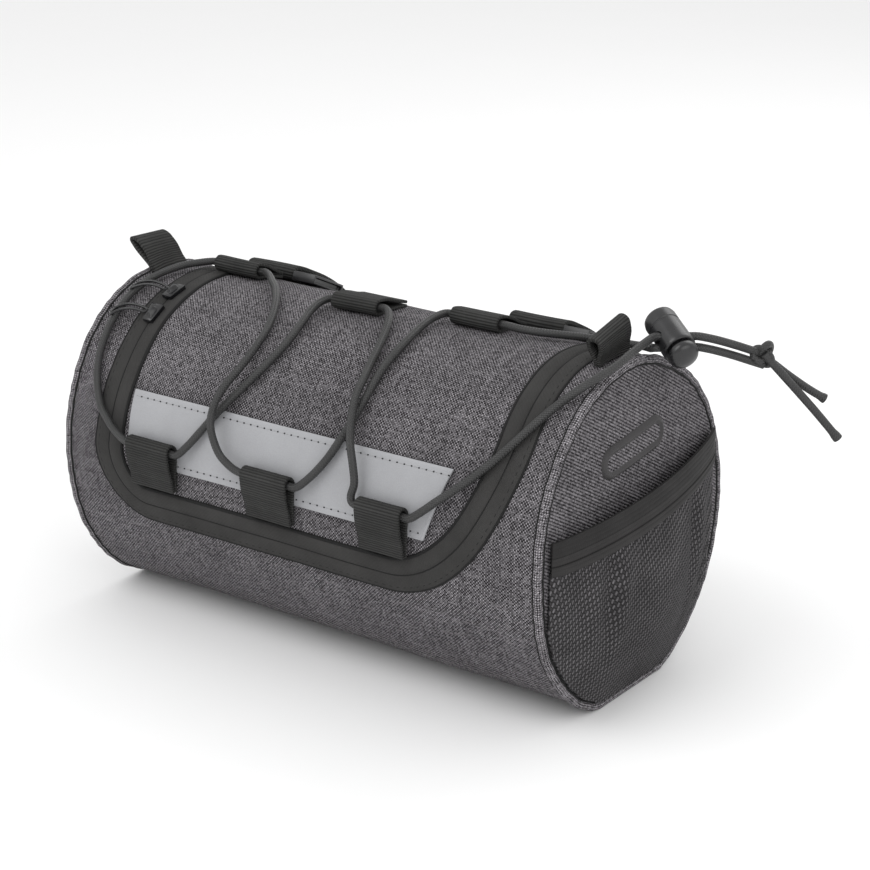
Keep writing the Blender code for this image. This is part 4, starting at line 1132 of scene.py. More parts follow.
def knot_path():
    """A tight overhand knot: a trefoil stretched across the cord."""
    axis, up = cord_axis(), Vector((0.0, 0.0, 1.0))
    across = up.cross(axis)
    points = []
    steps = 72
    for step in range(steps):
        t = 2 * math.pi * step / steps
        flat_a = (math.sin(t) + 2 * math.sin(2 * t)) / 3
        flat_b = (math.cos(t) - 2 * math.cos(2 * t)) / 3
        rise = -math.sin(3 * t)
        points.append(knot_middle() + up * (flat_a * (KNOT_HEIGHT / 2 - CORD_RADIUS * 0.85))
                      + axis * (flat_b * (KNOT_LENGTH / 2 - CORD_RADIUS * 0.5))
                      + across * (rise * CORD_RADIUS * 0.95))
    return points


class BAG_OT_free_cord(bpy.types.Operator):
    """Tail of the lacing beyond the lock, its knot and its two cut ends"""
    bl_idname = "bag.free_cord"
    bl_label = "Free Cord"

    def execute(self, context):
        knot = tube("overhand_knot", knot_path(), CORD_RADIUS * 0.92, sides=14, closed=True)
        dress(knot, "braided_cover", "braided_cord", "cord_knot")
        reach = TAIL_LENGTH + LOCK_RADIUS - 2 * GAP
        straight = (LOCK_RADIUS + 4 * GAP) / reach
        for node, aside in (("cord_tail_upper", CORD_SPACING / 2), ("cord_tail_lower", -CORD_SPACING / 2)):
            points = []
            for share in (0.0, 0.15, 0.3, 0.45, 0.6, 0.8, 1.0):
                point = lock_point(LOCK_HOLE_SHARE, reach * share, aside)
                point.z -= TAIL_SAG * max(0.0, (share - straight) / (1 - straight)) ** 1.3
                points.append(point)
            last = (points[-1] - points[-2]).normalized()
            points.append(points[-1] + last * INTO_KNOT)
            path = smooth_path(points, 4)
            tail = tube(node.replace("cord_tail", "tail_cord"), path, CORD_RADIUS)
            dress(tail, "braided_cover", "braided_cord", node)
            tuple(path[0])
            path_length(path)
        across = Vector((0.0, 0.0, 1.0)).cross(cord_axis())
        slant = (cord_axis() - Vector((0.0, 0.0, 1.0))).normalized()
        start = knot_middle() + slant * ((KNOT_LENGTH + KNOT_HEIGHT) / 4 + GAP)
        for node, side, stations in FREE_ENDS:
            points = [start + cord_axis() * along - Vector((0.0, 0.0, drop)) + across * side
                      for along, drop in stations]
            first = (points[0] - points[1]).normalized()
            points.insert(0, points[0] + first * INTO_KNOT)
            path = smooth_path(points, 8)

            def cut(share):
                return 1.0 + 0.36 * max(0.0, (share - 0.93) / 0.07) - 0.12 * max(0.0, (share - 0.985) / 0.015)

            end = tube(node.replace("cord_end", "cut_end"), path, CORD_RADIUS, flare=cut)
            dress(end, "braided_cover", "braided_cord", node)
            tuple(path[0])
            path_length(path)
        return {"FINISHED"}


def loop_passage(number, from_right):
    """The straight stretch of the cord through a loop, in the loop's own channel."""
    name, left, right, angle, sewn, base = LOOPS[number]
    lift = base + GAP + WEBBING_WALL + CORD_CLEARANCE + CORD_RADIUS
    xs = (right + CORD_STRAIGHT, right - CORD_STRAIGHT, left + CORD_STRAIGHT, left - CORD_STRAIGHT)
    return [(x, angle, lift) for x in (xs if from_right else reversed(xs))]


def lowered(stations):
    """The stations with the cord resting a little lower."""
    return [(x, angle, lift - CORD_DROP) for x, angle, lift in stations]


class BAG_OT_laced_cord(bpy.types.Operator):
    """The elastic cord laced over the lid, from the lock through six loops and back"""
    bl_idname = "bag.laced_cord"
    bl_label = "Laced Cord"

    def execute(self, context):
        stations = lowered(STRAND_TO_BOTTOM_3)
        stations += loop_passage(2, True) + lowered(BOTTOM_3_TO_TOP_2)
        stations += loop_passage(4, True) + lowered(TOP_2_TO_BOTTOM_1)
        stations += loop_passage(0, True) + lowered(BOTTOM_1_TO_TOP_1)
        stations += loop_passage(3, False) + lowered(TOP_1_TO_BOTTOM_2)
        stations += loop_passage(1, False) + lowered(BOTTOM_2_TO_TOP_3)
        stations += loop_passage(5, False) + lowered(TOP_3_TO_LOCK)
        points = [on_barrel(*station) for station in stations]
        upper = [lock_point(LOCK_HOLE_SHARE, side, CORD_SPACING / 2) for side in (-GAP, -0.004, -0.0075)]
        lower = [lock_point(LOCK_HOLE_SHARE, side, -CORD_SPACING / 2) for side in (-0.0075, -0.004, -GAP)]
        cord = tube("laced_cord", smooth_path(upper + points + lower, 5), CORD_RADIUS, sides=14)
        dress(cord, "braided_cover", "braided_cord", "bungee_cord")
        return {"FINISHED"}


# Barrel

class BAG_OT_barrel(bpy.types.Operator):
    """Cloth of the barrel, with the lid's opening left out of it"""
    bl_idname = "bag.barrel"
    bl_label = "Barrel Cloth"

    def execute(self, context):
        outset = 2 * TAPE_WIDTH + 3 * GAP
        margin, middle = 12, 30
        columns = 2 * margin + middle
        end = SEAM_HALF_LENGTH - PIPING_RADIUS * 0.5
        bottom = arc_angle(outline_side(1, lid_rows(), outset)[1])
        back = 360.0 + arc_angle(hinge_line() - 2 * GAP)
        back_rows = 72

        def spot(column, row):
            if row > lid_rows():
                share = (row - lid_rows()) / back_rows
                angle = bottom + (back - bottom) * share
                blend = min(1.0, share * 3)
                first = outline_side(-1, lid_rows(), outset)[0]
                last = outline_side(1, lid_rows(), outset)[0]
                first += (outline_side(-1, 0, outset)[0] - first) * blend
                last += (outline_side(1, 0, outset)[0] - last) * blend
                angles = (angle, angle)
            else:
                first, left_length = outline_side(-1, row, outset)
                last, right_length = outline_side(1, row, outset)
                if row == 0:
                    left_length = right_length = hinge_line() - 2 * GAP
                angles = (arc_angle(left_length), arc_angle(right_length))
            if column <= margin:
                return -end + (first + end) * column / margin, angles[0]
            if column >= margin + middle:
                return last + (end - last) * (column - margin - middle) / margin, angles[1]
            share = (column - margin) / middle
            return first + (last - first) * share, angles[0] + (angles[1] - angles[0]) * share

        def place(column, row):
            x, angle = spot(column, row)
            return on_barrel(x, angle)

        def uv(column, row):
            x, angle = spot(column, row)
            return x, math.radians(angle) * BODY_RADIUS

        def opening(column, row):
            return row < lid_rows() and margin <= column < margin + middle

        item = sheet("barrel_cloth", columns, lid_rows() + back_rows, place, uv, BODY_WALL, leave_out=opening)
        dress(item, "heather_barrel", "heather_cloth", "body_wrap")
        return {"FINISHED"}


class BAG_OT_lid(bpy.types.Operator):
    """Cloth of the lid"""
    bl_idname = "bag.lid"
    bl_label = "Lid"

    def execute(self, context):
        columns = 72

        def spot(column, row):
            left, left_length = outline_side(-1, row, 0.0)
            right, right_length = outline_side(1, row, 0.0)
            share = column / columns
            return left + (right - left) * share, left_length + (right_length - left_length) * share

        item = sheet("lid_cloth", columns, lid_rows(), lambda c, r: wrapped(*spot(c, r)), spot, LID_WALL,
                     round_edge=0.0006)
        dress(item, "heather_barrel", "heather_cloth", "lid_panel")
        return {"FINISHED"}


class BAG_OT_ends(bpy.types.Operator):
    """Round end panels and the cloth-covered piping in both end seams"""
    bl_idname = "bag.ends"
    bl_label = "Ends and Piping"

    def execute(self, context):
        around, rings = 120, 24
        for name, side in (("left", -1), ("right", 1)):
            def spot(column, row, side=side):
                edge_y, edge_z = panel_edge(360.0 * column / around)
                share = row / rings
                return edge_y * share, AXIS_HEIGHT + (edge_z - AXIS_HEIGHT) * share

            def place(column, row, side=side):
                y, z = spot(column, row)
                return Vector((side * (panel_face(y, z) + panel_soft(y, z)), y, z))

            panel = sheet("end_cloth_" + name, around, rings, place, spot, PANEL_WALL,
                          centre=Vector((0.0, 0.0, AXIS_HEIGHT)))
            dress(panel, "heather_end", "heather_cloth", "end_panel_" + name)
            angles = [360.0 * step / 180 for step in range(180)]
            piping = tube("piping_cord_" + name, [piping_middle(angle, side) for angle in angles],
                          PIPING_RADIUS, sides=14, closed=True)
            dress(piping, "heather_piping_painted_light", "heather_cloth", "piping_" + name)
        return {"FINISHED"}


# Zip

class BAG_OT_zip_tapes(bpy.types.Operator):
    """Two woven tapes that meet edge to edge round three sides of the lid"""
    bl_idname = "bag.zip_tapes"
    bl_label = "Zip Tapes"

    def execute(self, context):
        bottom_columns = 40
        columns = 2 * lid_rows() + bottom_columns
        rows = 6
        for name, node, inner in (("inner_tape", "zipper_tape_lid", GAP),
                                  ("outer_tape", "zipper_tape_body", TAPE_WIDTH + 2 * GAP)):
            def place(column, row, inner=inner, node=node):
                x, length = outline_point(column, bottom_columns, inner + TAPE_WIDTH * row / rows)
                roll = TAPE_ROLL if node == "zipper_tape_lid" else TAPE_ROLL * 0.4
                return wrapped(x, length, TAPE_LIFT + roll * math.sin(math.pi * row / rows) ** 0.7)

            marks = [0.0]
            for column in range(1, columns + 1):
                marks.append(marks[-1] + (place(column, 3) - place(column - 1, 3)).length)
            item = sheet(name, columns, rows, place, lambda c, r: (TAPE_WIDTH * r / rows, marks[c]), TAPE_WALL,
                         round_edge=0.0002)
            dress(item, "zip_twill", "zip_tape", node)
        return {"FINISHED"}


def slider_frame(angle):
    """Place and axes of a slider on the left zip: along the zip, towards the left, outwards."""
    length = math.radians(angle) * BODY_RADIUS
    row = 0
    while outline_side(-1, row, TAPE_WIDTH)[1] < length:
        row += 1
    x = outline_side(-1, row, TAPE_WIDTH)[0]
    place = on_barrel(x, angle, TAPE_LIFT + GAP)
    along = (on_barrel(x, angle + 1.0, TAPE_LIFT + GAP) - place).normalized()
    left = Vector((-1.0, 0.0, 0.0))
    out = along.cross(left).normalized()
    out = out if out.dot(place - Vector((place.x, 0.0, AXIS_HEIGHT))) > 0 else -out
    return place, along, left, out


class BAG_OT_zip_sliders(bpy.types.Operator):
    """Two cast sliders with their bridges and long pulls"""
    bl_idname = "bag.zip_sliders"
    bl_label = "Zip Sliders"

    def execute(self, context):
        for name, angle in SLIDERS:
            place, along, left, out = slider_frame(angle)
            middle = place + out * (SLIDER_HEIGHT / 2 + GAP)
            item = box_piece(name.replace("zipper_slider", "slider_body"),
                             (SLIDER_LENGTH, SLIDER_WIDTH, SLIDER_HEIGHT * 0.55))
            select_faces(item, lambda c, n: n.z > 0.9)
            bpy.ops.mesh.inset(thickness=0.0011)
            bpy.ops.mesh.inset(thickness=0.0008)
            bpy.ops.mesh.extrude_region_move(TRANSFORM_OT_translate={"value": (0, 0, SLIDER_HEIGHT * 0.45)})
            bpy.ops.transform.resize(value=(0.75, 0.6, 1.0), center_override=(0.0, 0.0, 0.0))
            select_faces(item, lambda c, n: n.x > 0.9)
            bpy.ops.transform.resize(value=(1.0, 0.72, 1.0), center_override=(0.0, 0.0, 0.0))
            end_edit(item, 0.00035)
            stand(item, middle - out * (SLIDER_HEIGHT * 0.225), along, left, out)
            dress(item, "black_enamel", "black_metal", name)
            foot = middle + left * (SLIDER_WIDTH / 2 + GAP - PULL_WIRE)

            def spot(share, aside):
                rise = PULL_RISE * math.sin(math.pi * share * 0.85)
                return (foot + left * (PULL_LENGTH * share) + out * rise
                        + along * (PULL_DROOP * share ** 2 + aside))

            corners = [(share, PULL_NARROW + (PULL_WIDE - PULL_NARROW) * share)
                       for share in (0.03, 0.2, 0.4, 0.6, 0.8, 0.93)]
            ring = [(0.0, 0.0)] + corners + [(1.0, 0.0)] + [(share, -aside) for share, aside in reversed(corners)]
            wire = smooth_path([spot(*corner) for corner in ring], 4, closed=True)
            pull = tube(name.replace("zipper_slider", "pull_wire"), wire, PULL_WIRE, sides=10, closed=True)
            dress(pull, "black_enamel", "black_metal", name.replace("slider", "pull"))
        return {"FINISHED"}


# Strip and stitching

class BAG_OT_strip(bpy.types.Operator):
    """Light grey reflective strip across the front of the lid"""
    bl_idname = "bag.strip"
    bl_label = "Reflective Strip"

    def execute(self, context):
        columns, rows = 110, 18

        def spot(column, row):
            down = row / rows
            right = STRIP_RIGHT_TOP + (STRIP_RIGHT_BOTTOM - STRIP_RIGHT_TOP) * down
            angle = STRIP_TOP_ANGLE + (STRIP_BOTTOM_ANGLE - STRIP_TOP_ANGLE) * down
            return STRIP_LEFT + (right - STRIP_LEFT) * column / columns, angle

        item = sheet("strip_tape", columns, rows, lambda c, r: on_barrel(*spot(c, r), GAP),
                     lambda c, r: (spot(c, r)[0], math.radians(spot(c, r)[1]) * BODY_RADIUS), STRIP_WALL,
                     grow=1.0, round_edge=0.0003)
        dress(item, "satin_strip", "reflective", "reflective_strip")
        return {"FINISHED"}


def stitch_row(name, material, slot, line, length, radius, pitch, sunk=0.35):
    """Short thread bodies along a line of (point, outwards), joined in one mesh."""
    deselect()
    bpy.ops.mesh.primitive_uv_sphere_add(segments=8, ring_count=5, radius=1.0, location=(0, 0, 0))
    item = bpy.context.object
    item.name = name
    item.data.name = name
    shape = [vert.co.copy() for vert in item.data.vertices]
    loops = [tuple(face.vertices) for face in item.data.polygons]
    marks = [0.0]
    for (before, out), (after, out_after) in zip(line, line[1:]):
        marks.append(marks[-1] + (after - before).length)
    points, faces = [], []
    place = pitch / 2
    k = 0
    while place < marks[-1] - pitch / 2:
        while marks[k + 1] < place:
            k += 1
        share = (place - marks[k]) / (marks[k + 1] - marks[k])
        point = line[k][0].lerp(line[k + 1][0], share)
        out = line[k][1].lerp(line[k + 1][1], share).normalized()
        along = (line[k + 1][0] - line[k][0]).normalized()
        side = along.cross(out)
        start = len(points)
        for co in shape:
            points.append(point + along * (co.x * length / 2) + side * (co.y * radius)
                          + out * (co.z * radius + radius * (1 - 2 * sunk)))
        faces += [tuple(start + index for index in face) for face in loops]
        place += pitch
    item.data.clear_geometry()
    item.data.from_pydata([tuple(point) for point in points], [], faces)
    item.data.update()
    dress(item, material, slot)
    return item


def barrel_line(spots, lift):
    """Points and outward directions on the barrel for a list of (x, angle)."""
    line = []
    for x, angle in spots:
        turn = math.radians(angle)
        line.append((on_barrel(x, angle, lift), Vector((0.0, -math.sin(turn), math.cos(turn)))))
    return line


class BAG_OT_seams(bpy.types.Operator):
    """Dark tubes of painted shade in the sunk seams beside the lid, the tapes and both pipings"""
    bl_idname = "bag.seams"
    bl_label = "Seams"

    def execute(self, context):
        columns = 2 * lid_rows() + 40
        for name, outset, radius in (("lid", GAP, LID_SLIT_SHADE), ("zip", TAPE_WIDTH + GAP * 1.5, SEAM_SHADE_RADIUS),
                                     ("barrel", 2 * TAPE_WIDTH + 3 * GAP, SEAM_SHADE_RADIUS)):
            line = [outline_point(column, 40, outset) for column in range(columns + 1)]
            path = [wrapped(x, length, SEAM_SHADE_LIFT) for x, length in line]
            # a dark tube of painted shade along the slit or seam
            seam = tube("seam_" + name, path, radius, sides=8)
            dress(seam, "dark_thread_and_shade", "zip_tape")
        for name, side in (("left", -1), ("right", 1)):
            angles = [360.0 * step / 180 for step in range(180)]
            wrap = []
            face = []
            for angle in angles:
                edge = on_barrel(side * (SEAM_HALF_LENGTH - PIPING_RADIUS * 0.95), angle, SEAM_SHADE_LIFT)
                edge.z = max(edge.z, SEAM_SHADE_RADIUS)
                wrap.append(edge)
                y, z = panel_edge(angle)
                face.append(Vector((side * (panel_face(y, z) + SEAM_SHADE_LIFT), y, z)))
            for place, path in (("wrap", wrap), ("face", face)):
                # dark rings of painted shade in the grooves on both sides of the piping
                seam = tube("seam_%s_%s" % (place, name), path, SEAM_SHADE_RADIUS, sides=8, closed=True)
                dress(seam, "dark_thread_and_shade", "heather_cloth")
        return {"FINISHED"}


class BAG_OT_stitching(bpy.types.Operator):
    """Rows of stitches along the strip and beside the zip"""
    bl_idname = "bag.stitching"
    bl_label = "Stitching"

    def execute(self, context):
        s = sizes()
        steps = 200
        edge = 2.3
        for name, angle, right in (
                ("upper", STRIP_TOP_ANGLE + edge, STRIP_RIGHT_TOP - 0.001),
                ("lower", STRIP_BOTTOM_ANGLE - edge, STRIP_RIGHT_BOTTOM - 0.001)):
            spots = [(STRIP_LEFT + 0.001 + (right - STRIP_LEFT - 0.001) * k / steps, angle)
                     for k in range(steps + 1)]
            line = barrel_line(spots, GAP + STRIP_WALL)
            stitch_row("strip_stitches_" + name, "pale_thread", "reflective", line, s.stitch * 0.72,
                       s.thread_radius * 0.6, s.stitch, sunk=0.45)
            # dark dots between the stitches: painted shade in the needle holes
            shifted = [(point + Vector((s.stitch / 2, 0.0, 0.0)), out) for point, out in line]
            stitch_row("strip_needle_holes_" + name, "dark_thread_and_shade", "reflective", shifted, 0.0008,
                       s.thread_radius * 1.4, s.stitch, sunk=0.45)
        bottom_columns = 40
        for name, outset in (("inner", 0.0016), ("outer", 2 * TAPE_WIDTH - 0.0011)):
            spots = []
            for column in range(2 * lid_rows() + bottom_columns + 1):
                x, length = outline_point(column, bottom_columns, outset)
                spots.append((x, arc_angle(length)))
            stitch_row("tape_stitches_" + name, "dark_thread_and_shade", "zip_tape", barrel_line(spots, TAPE_LIFT),
                       s.stitch * 0.75, s.thread_radius, s.stitch)
        return {"FINISHED"}


# Webbing

def path_marks(path):
    marks = [0.0]
    for before, after in zip(path, path[1:]):
        marks.append(marks[-1] + math.dist(before, after))
    return marks


def refine(path, parts=3):
    """A smoother line through a path of pairs."""
    points = [Vector((a, b, 0.0)) for a, b in path]
    return [(point.x, point.y) for point in smooth_path(points, parts)]


class BAG_OT_cord_loops(bpy.types.Operator):
    """Six folded webbing loops that hold the lacing"""
    bl_idname = "bag.cord_loops"
    bl_label = "Cord Loops"

    def execute(self, context):
        for name, left, right, channel_angle, sewn_angle, base_lift in LOOPS:
            eye = CORD_RADIUS + CORD_CLEARANCE + WEBBING_WALL / 2
            inner_lift = base_lift + GAP + WEBBING_WALL / 2
            middle_lift = inner_lift + eye
            outwards = 1.0 if sewn_angle > channel_angle else -1.0
            leg = abs(sewn_angle - channel_angle) * math.radians(1.0) * BODY_RADIUS
            seam_lift = inner_lift + WEBBING_WALL + GAP
            path = [(leg * share, inner_lift) for share in (1.0, 0.66, 0.33, 0.0)]
            for step in range(1, 6):
                turn = math.pi * step / 6
                path.append((-eye * math.sin(turn), middle_lift - eye * math.cos(turn)))
            path += [(0.0, middle_lift + eye), (leg * 0.35, middle_lift + eye * 0.55),
                     (leg * 0.72, seam_lift + eye * 0.25), (leg, seam_lift)]
            path = refine(path)
            marks = path_marks(path)
            across = 10

            def place(column, row):
                along, lift = path[row]
                return on_barrel(left + (right - left) * column / across,
                                 channel_angle + outwards * arc_angle(along), lift)

            item = sheet(name.replace("cord_loop", "lacing_loop"), across, len(path) - 1, place,
                         lambda c, r: ((right - left) * c / across, marks[r]), WEBBING_WALL, grow=0.0,
                         round_edge=0.0003)
            dress(item, "ribbed_webbing", "webbing", name)
        return {"FINISHED"}


class BAG_OT_shoulder_loops(bpy.types.Operator):
    """Small folded webbing loops on top of both ends"""
    bl_idname = "bag.shoulder_loops"
    bl_label = "Shoulder Loops"

    def execute(self, context):
        for name, base_x, lean, front_y, back_y, front_height, back_height in SHOULDER_LOOPS:
            height = max(front_height, back_height)
            front_crown = on_barrel(base_x, math.degrees(math.atan2(-front_y, BODY_RADIUS))).z
            eye = SHOULDER_EYE + SHOULDER_WALL / 2
            foot = (SHOULDER_WALL + GAP) / 2
            path = [(-foot, 0.0), (-foot, 0.25), (-eye, 0.6)]
            path += [(-eye * math.cos(turn), 0.85 + 0.15 * math.sin(turn))
                     for turn in (math.pi * step / 6 for step in range(7))]
            path += [(eye, 0.6), (foot, 0.25), (foot, 0.0)]
            path = refine([(aside, share * height) for aside, share in path])
            marks = path_marks(path)
            across = 14

            def place(column, row):
                y = front_y + (back_y - front_y) * column / across
                aside, rise = path[row]
                share = max(0.0, rise / height)
                angle = math.degrees(math.atan2(-y, BODY_RADIUS))
                crown = on_barrel(base_x, angle).z
                crown += (front_crown - crown) * share + GAP + SHOULDER_WALL / 4
                tall = front_height + (back_height - front_height) * column / across
                return Vector((base_x + aside + lean * share ** SHOULDER_LEAN_CURVE, y, crown + tall * share))

            item = sheet(name.replace("shoulder_loop", "ring_loop"), across, len(path) - 1, place,
                         lambda c, r: ((back_y - front_y) * c / across, marks[r]), SHOULDER_WALL, grow=0.0,
                         round_edge=0.0003)
            dress(item, "ribbed_webbing", "webbing", name)
        return {"FINISHED"}


class BAG_OT_handlebar_straps(bpy.types.Operator):
    """Wide webbing loops on the back for the handlebar"""
    bl_idname = "bag.handlebar_straps"
    bl_label = "Handlebar Straps"

    def execute(self, context):
        for side, middle_x in STRAPS:
            steps = 12
            inner = TAPE_LIFT + GAP + STRAP_WALL / 2
            span = STRAP_LOW_ANGLE - STRAP_TOP_ANGLE
            path = [(STRAP_TOP_ANGLE + span * step / steps, inner) for step in range(steps + 1)]
            bulge = STRAP_EYE - STRAP_END_EYE
            for step in range(steps, -1, -1):
                share = step / steps
                sag = math.sin(math.pi * share ** STRAP_SAG) ** 0.8
                path.append((STRAP_TOP_ANGLE + span * share, inner + STRAP_WALL + STRAP_END_EYE + bulge * sag))
            half = (STRAP_END_EYE + STRAP_WALL) / 2
            path.insert(steps + 1, (STRAP_LOW_ANGLE - arc_angle(half), inner + half))
            path.append((STRAP_TOP_ANGLE + arc_angle(half), inner + half))
            points = [Vector((math.radians(a) * BODY_RADIUS, lift, 0.0)) for a, lift in path]
            fine = [(point.x, point.y) for point in smooth_path(points, 4, closed=True)]
            marks = path_marks(fine + fine[:1])
            across = 12

            def place(column, row):
                length, lift = fine[row % len(fine)]
                return on_barrel(middle_x + STRAP_WIDTH * (column / across - 0.5), arc_angle(length), lift)

            item = sheet("strap_webbing_" + side, across, len(fine), place,
                         lambda c, r: (STRAP_WIDTH * c / across, marks[r]), STRAP_WALL, grow=0.0,
                         centre=on_barrel(middle_x, STRAP_TOP_ANGLE + span / 2, STRAP_EYE / 2),
                         round_edge=0.0003)
            dress(item, "ribbed_webbing", "webbing", "handlebar_strap_" + side)
        return {"FINISHED"}


class BAG_OT_strap_buckles(bpy.types.Operator):
    """Plastic buckles beside the handlebar straps"""
    bl_idname = "bag.strap_buckles"
    bl_label = "Strap Buckles"

    def execute(self, context):
        for side, strap_x in STRAPS:
            middle_x = strap_x + STRAP_WIDTH / 2 + GAP + BUCKLE_WIDTH / 2
            place = on_barrel(middle_x, BUCKLE_ANGLE, TAPE_LIFT + GAP + BUCKLE_WALL / 2)
            turn = math.radians(BUCKLE_ANGLE)
            out = Vector((0.0, -math.sin(turn), math.cos(turn)))
            along = Vector((1.0, 0.0, 0.0))
            item = box_piece("buckle_" + side, (BUCKLE_WIDTH, BUCKLE_LENGTH, BUCKLE_WALL * 0.8))
            select_faces(item, lambda c, n: n.z > 0.9)
            bpy.ops.mesh.inset(thickness=0.0020)
            bpy.ops.mesh.extrude_region_move(TRANSFORM_OT_translate={"value": (0, 0, -BUCKLE_WALL * 0.28)})
            select_faces(item, lambda c, n: n.x > 0.9)
            bpy.ops.mesh.inset(thickness=0.0010)
            bpy.ops.mesh.extrude_region_move(TRANSFORM_OT_translate={"value": (-BUCKLE_WIDTH * 0.15, 0, 0)})
            end_edit(item, 0.0006, 3)
            stand(item, place, along, out.cross(along), out)
            dress(item, "moulded_plastic", "plastic", "strap_buckle_" + side)
        return {"FINISHED"}


# Pocket and patch

class BAG_OT_net_pocket(bpy.types.Operator):
    """Net pocket with its ribbed elastic band on the right end"""
    bl_idname = "bag.net_pocket"
    bl_label = "Net Pocket"

    def execute(self, context):
        columns, rows = 110, 70
        width = POCKET_BACK_Y - POCKET_FRONT_Y
        tall = POCKET_FRONT_Z + AXIS_HEIGHT
        centre = Vector((0.0, 0.0, AXIS_HEIGHT))

        def net_place(column, row):
            return pocket_point(column / columns, BINDING_HEIGHT + GAP - 0.0006, row / rows)

        net = sheet("pocket_net", columns, rows, net_place,
                    lambda c, r: (width * c / columns, net_place(c, r).z), POCKET_WALL * 0.8, grow=1.0,
                    centre=centre)
        dress(net, "knitted_net", "net", "pocket_mesh")
        band_rows = 10 * BINDING_RIDGES

        def band_place(column, row):
            share = row / band_rows
            point = pocket_point(column / columns, BINDING_HEIGHT * share)
            ribbed = max(0.0, (share - BINDING_SMOOTH) / (1 - BINDING_SMOOTH))
            ridge = abs(math.sin(math.pi * ribbed * BINDING_RIDGES)) ** 0.6 if ribbed else 1.0
            point.x += 0.00060 * ridge
            return point

        band = sheet("pocket_band", columns, band_rows, band_place,
                     lambda c, r: (width * c / columns, tall * 0 + BINDING_HEIGHT * r / band_rows),
                     BINDING_WALL * 0.9, grow=1.0, centre=centre)
        dress(band, "ribbed_elastic", "elastic_binding", "pocket_binding")
        wide = path_length([net_place(column, 0) for column in range(columns + 1)])
        deep = path_length([net_place(columns // 2, row) for row in range(rows + 1)])
        return {"FINISHED"}


class BAG_OT_end_patch(bpy.types.Operator):
    """Oblong rubber patch with a raised outline, bare inside it"""
    bl_idname = "bag.end_patch"
    bl_label = "End Patch"

    def execute(self, context):
        slant = math.radians(PATCH_SLANT)
        half = PATCH_HEIGHT / 2
        straight = PATCH_LENGTH / 2 - half
        around, rings = 96, 14

        def spot(column, row):
            part, step = divmod(column % around, around // 4)
            share = row / rings
            travel = step / (around // 4)
            turn = math.pi * (travel - 0.5)
            if part % 2 == 0:
                along, up = straight + math.cos(turn) * half * share, math.sin(turn) * half * share
            else:
                along, up = straight * (1 - 2 * travel), half * share
            return (along, up, share) if part < 2 else (-along, -up, share)

        def place(column, row):
            along, up, share = spot(column, row)
            y = PATCH_Y + along * math.cos(slant) - up * math.sin(slant)
            z = AXIS_HEIGHT + PATCH_Z + along * math.sin(slant) + up * math.cos(slant)
            inside = (1 - share) * half
            ring = math.exp(-((inside - PATCH_RING) / 0.00080) ** 2)
            edge = min(1.0, inside / 0.0004)
            return Vector((panel_face(y, z) + panel_soft(y, z) + PATCH_WALL * 0.75 * edge + 0.0007 * ring, y, z))

        def uv(column, row):
            along, up, share = spot(column, row)
            return (PATCH_Y + along * math.cos(slant) - up * math.sin(slant),
                    along * math.sin(slant) + up * math.cos(slant))

        item = sheet("rubber_badge", around, rings, place, uv, PATCH_WALL * 0.7,
                     grow=-1.0, centre=Vector((0.0, 0.0, AXIS_HEIGHT)))
        dress(item, "soft_rubber", "rubber_patch", "end_patch")
        item.data.materials.append(finish("heather_end"))
        middle = Vector((0.0, PATCH_Y, AXIS_HEIGHT + PATCH_Z))
        ahead = Vector((0.0, math.cos(slant), math.sin(slant)))
        bare = half * round(rings * (1 - PATCH_EDGE / half)) / rings
        for face in item.data.polygons:
            flat = face.center - middle
            flat.x = 0.0
            along = max(-straight, min(straight, flat.dot(ahead)))
            if (flat - ahead * along).length < bare:
                face.material_index = 1
        return {"FINISHED"}


# Lock

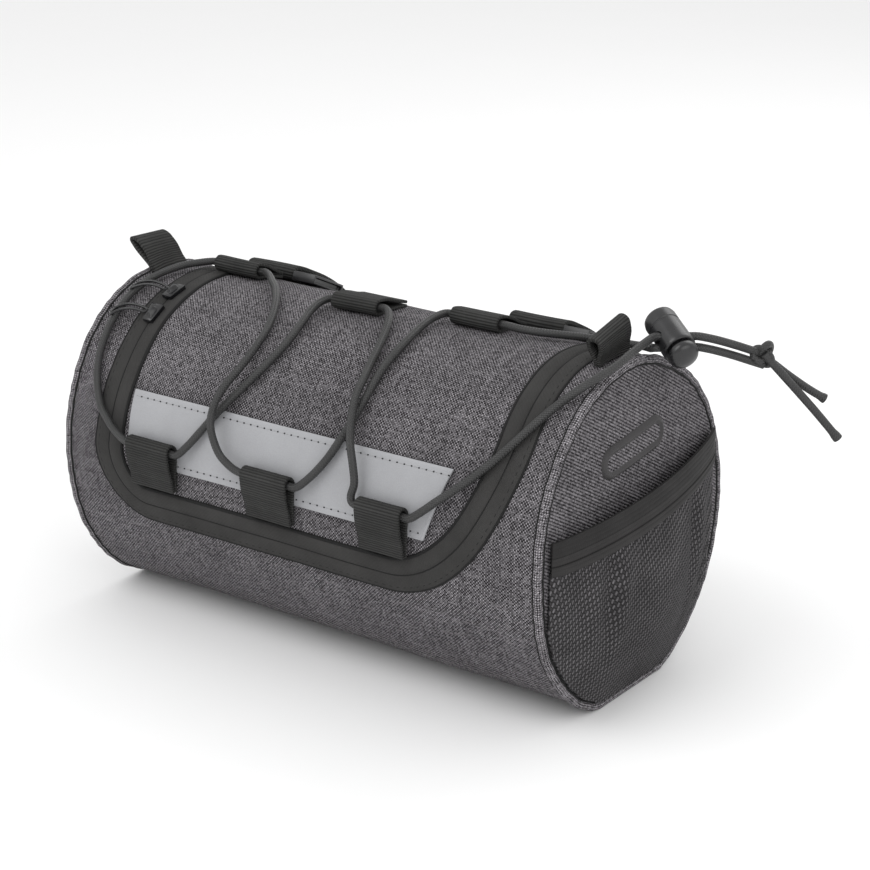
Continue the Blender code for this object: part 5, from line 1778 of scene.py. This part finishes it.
class BAG_OT_cord_lock(bpy.types.Operator):
    """Spring cord lock: a barrel with a cord hole and a sprung button"""
    bl_idname = "bag.cord_lock"
    bl_label = "Cord Lock"

    def execute(self, context):
        axis = Vector(LOCK_DIRECTION).normalized()
        start = lock_point(0.0)
        r, length = LOCK_RADIUS, LOCK_LENGTH
        barrel = turned_piece(
            "lock_barrel",
            ((0.0003, r * 0.50), (0.0, r * 0.58), (0.0, r * 0.66), (0.0003, r * 0.80), (0.0011, r * 0.93),
             (0.0026, r * 0.99), (0.0060, r * 0.985), (0.0063, r * 0.95), (0.0068, r * 0.95),
             (0.0071, r * 0.985), (length - 0.0024, r), (length - 0.0014, r), (length - 0.0004, r * 0.985),
             (length, r * 0.94), (length, r * 0.86), (length - 0.0010, r * 0.84)),
            start, axis)
        deselect()
        bpy.ops.mesh.primitive_cube_add(size=1.0, location=(0, 0, 0))
        cutter = context.object
        cutter.scale = (6 * r, LOCK_HOLE_WIDTH, LOCK_HOLE_HEIGHT)
        settle(cutter)
        rounding = cutter.modifiers.new("Round", "BEVEL")
        rounding.width = LOCK_HOLE_WIDTH * 0.42
        rounding.segments = 5
        apply_modifiers(cutter)
        through = cord_axis()
        up = Vector((0.0, 0.0, 1.0))
        stand(cutter, lock_point(LOCK_HOLE_SHARE), through, up.cross(through), up)
        cut = barrel.modifiers.new("Cord hole", "BOOLEAN")
        cut.operation = "DIFFERENCE"
        cut.object = cutter
        apply_modifiers(barrel)
        bpy.data.objects.remove(cutter, do_unlink=True)
        dress(barrel, "moulded_plastic", "plastic", "cord_lock_barrel", angle=30.0)
        b, tall = BUTTON_RADIUS, BUTTON_LENGTH
        button = turned_piece(
            "lock_button",
            ((-0.0008, b * 0.80), (0.0012, b * 0.80), (0.0013, b * 0.97), (0.0016, b), (0.0026, b),
             (0.0033, b * 0.98), (0.0041, b * 0.90), (tall - 0.0008, b * 0.72), (tall - 0.0003, b * 0.48),
             (tall, b * 0.20)),
            start + axis * length, axis)
        dress(button, "moulded_plastic", "plastic", "cord_lock_button", angle=30.0)
        return {"FINISHED"}


class BAG_PT_panel(bpy.types.Panel):
    """Every step of the bag, in the order that they are made"""
    bl_label = "Handlebar Bag"
    bl_idname = "BAG_PT_panel"
    bl_space_type = "VIEW_3D"
    bl_region_type = "UI"
    bl_category = "Bag"

    def draw(self, context):
        for step in STEPS:
            self.layout.operator(step.bl_idname)
        for group in (context.scene.bag_sizes, context.scene.bag_colours):
            for name in type(group).__annotations__:
                self.layout.prop(group, name)


STEPS = (
    BAG_OT_stage, BAG_OT_free_cord, BAG_OT_laced_cord, BAG_OT_barrel, BAG_OT_lid, BAG_OT_ends,
    BAG_OT_zip_tapes, BAG_OT_zip_sliders, BAG_OT_strip, BAG_OT_seams, BAG_OT_stitching, BAG_OT_cord_loops,
    BAG_OT_shoulder_loops, BAG_OT_handlebar_straps, BAG_OT_strap_buckles, BAG_OT_net_pocket,
    BAG_OT_end_patch, BAG_OT_cord_lock,
)
CLASSES = (BagSizes, BagColours) + STEPS + (BAG_PT_panel,)


def register():
    for made in CLASSES:
        bpy.utils.register_class(made)
    bpy.types.Scene.bag_sizes = PointerProperty(type=BagSizes)
    bpy.types.Scene.bag_colours = PointerProperty(type=BagColours)


def unregister():
    del bpy.types.Scene.bag_colours
    del bpy.types.Scene.bag_sizes
    for made in reversed(CLASSES):
        bpy.utils.unregister_class(made)


def main():
    register()
    bpy.ops.bag.stage()
    bpy.ops.bag.free_cord()
    bpy.ops.bag.laced_cord()
    bpy.ops.bag.barrel()
    bpy.ops.bag.lid()
    bpy.ops.bag.ends()
    bpy.ops.bag.zip_tapes()
    bpy.ops.bag.zip_sliders()
    bpy.ops.bag.strip()
    bpy.ops.bag.seams()
    bpy.ops.bag.stitching()
    bpy.ops.bag.cord_loops()
    bpy.ops.bag.shoulder_loops()
    bpy.ops.bag.handlebar_straps()
    bpy.ops.bag.strap_buckles()
    bpy.ops.bag.net_pocket()
    bpy.ops.bag.end_patch()
    bpy.ops.bag.cord_lock()


if __name__ == "__main__":
    main()
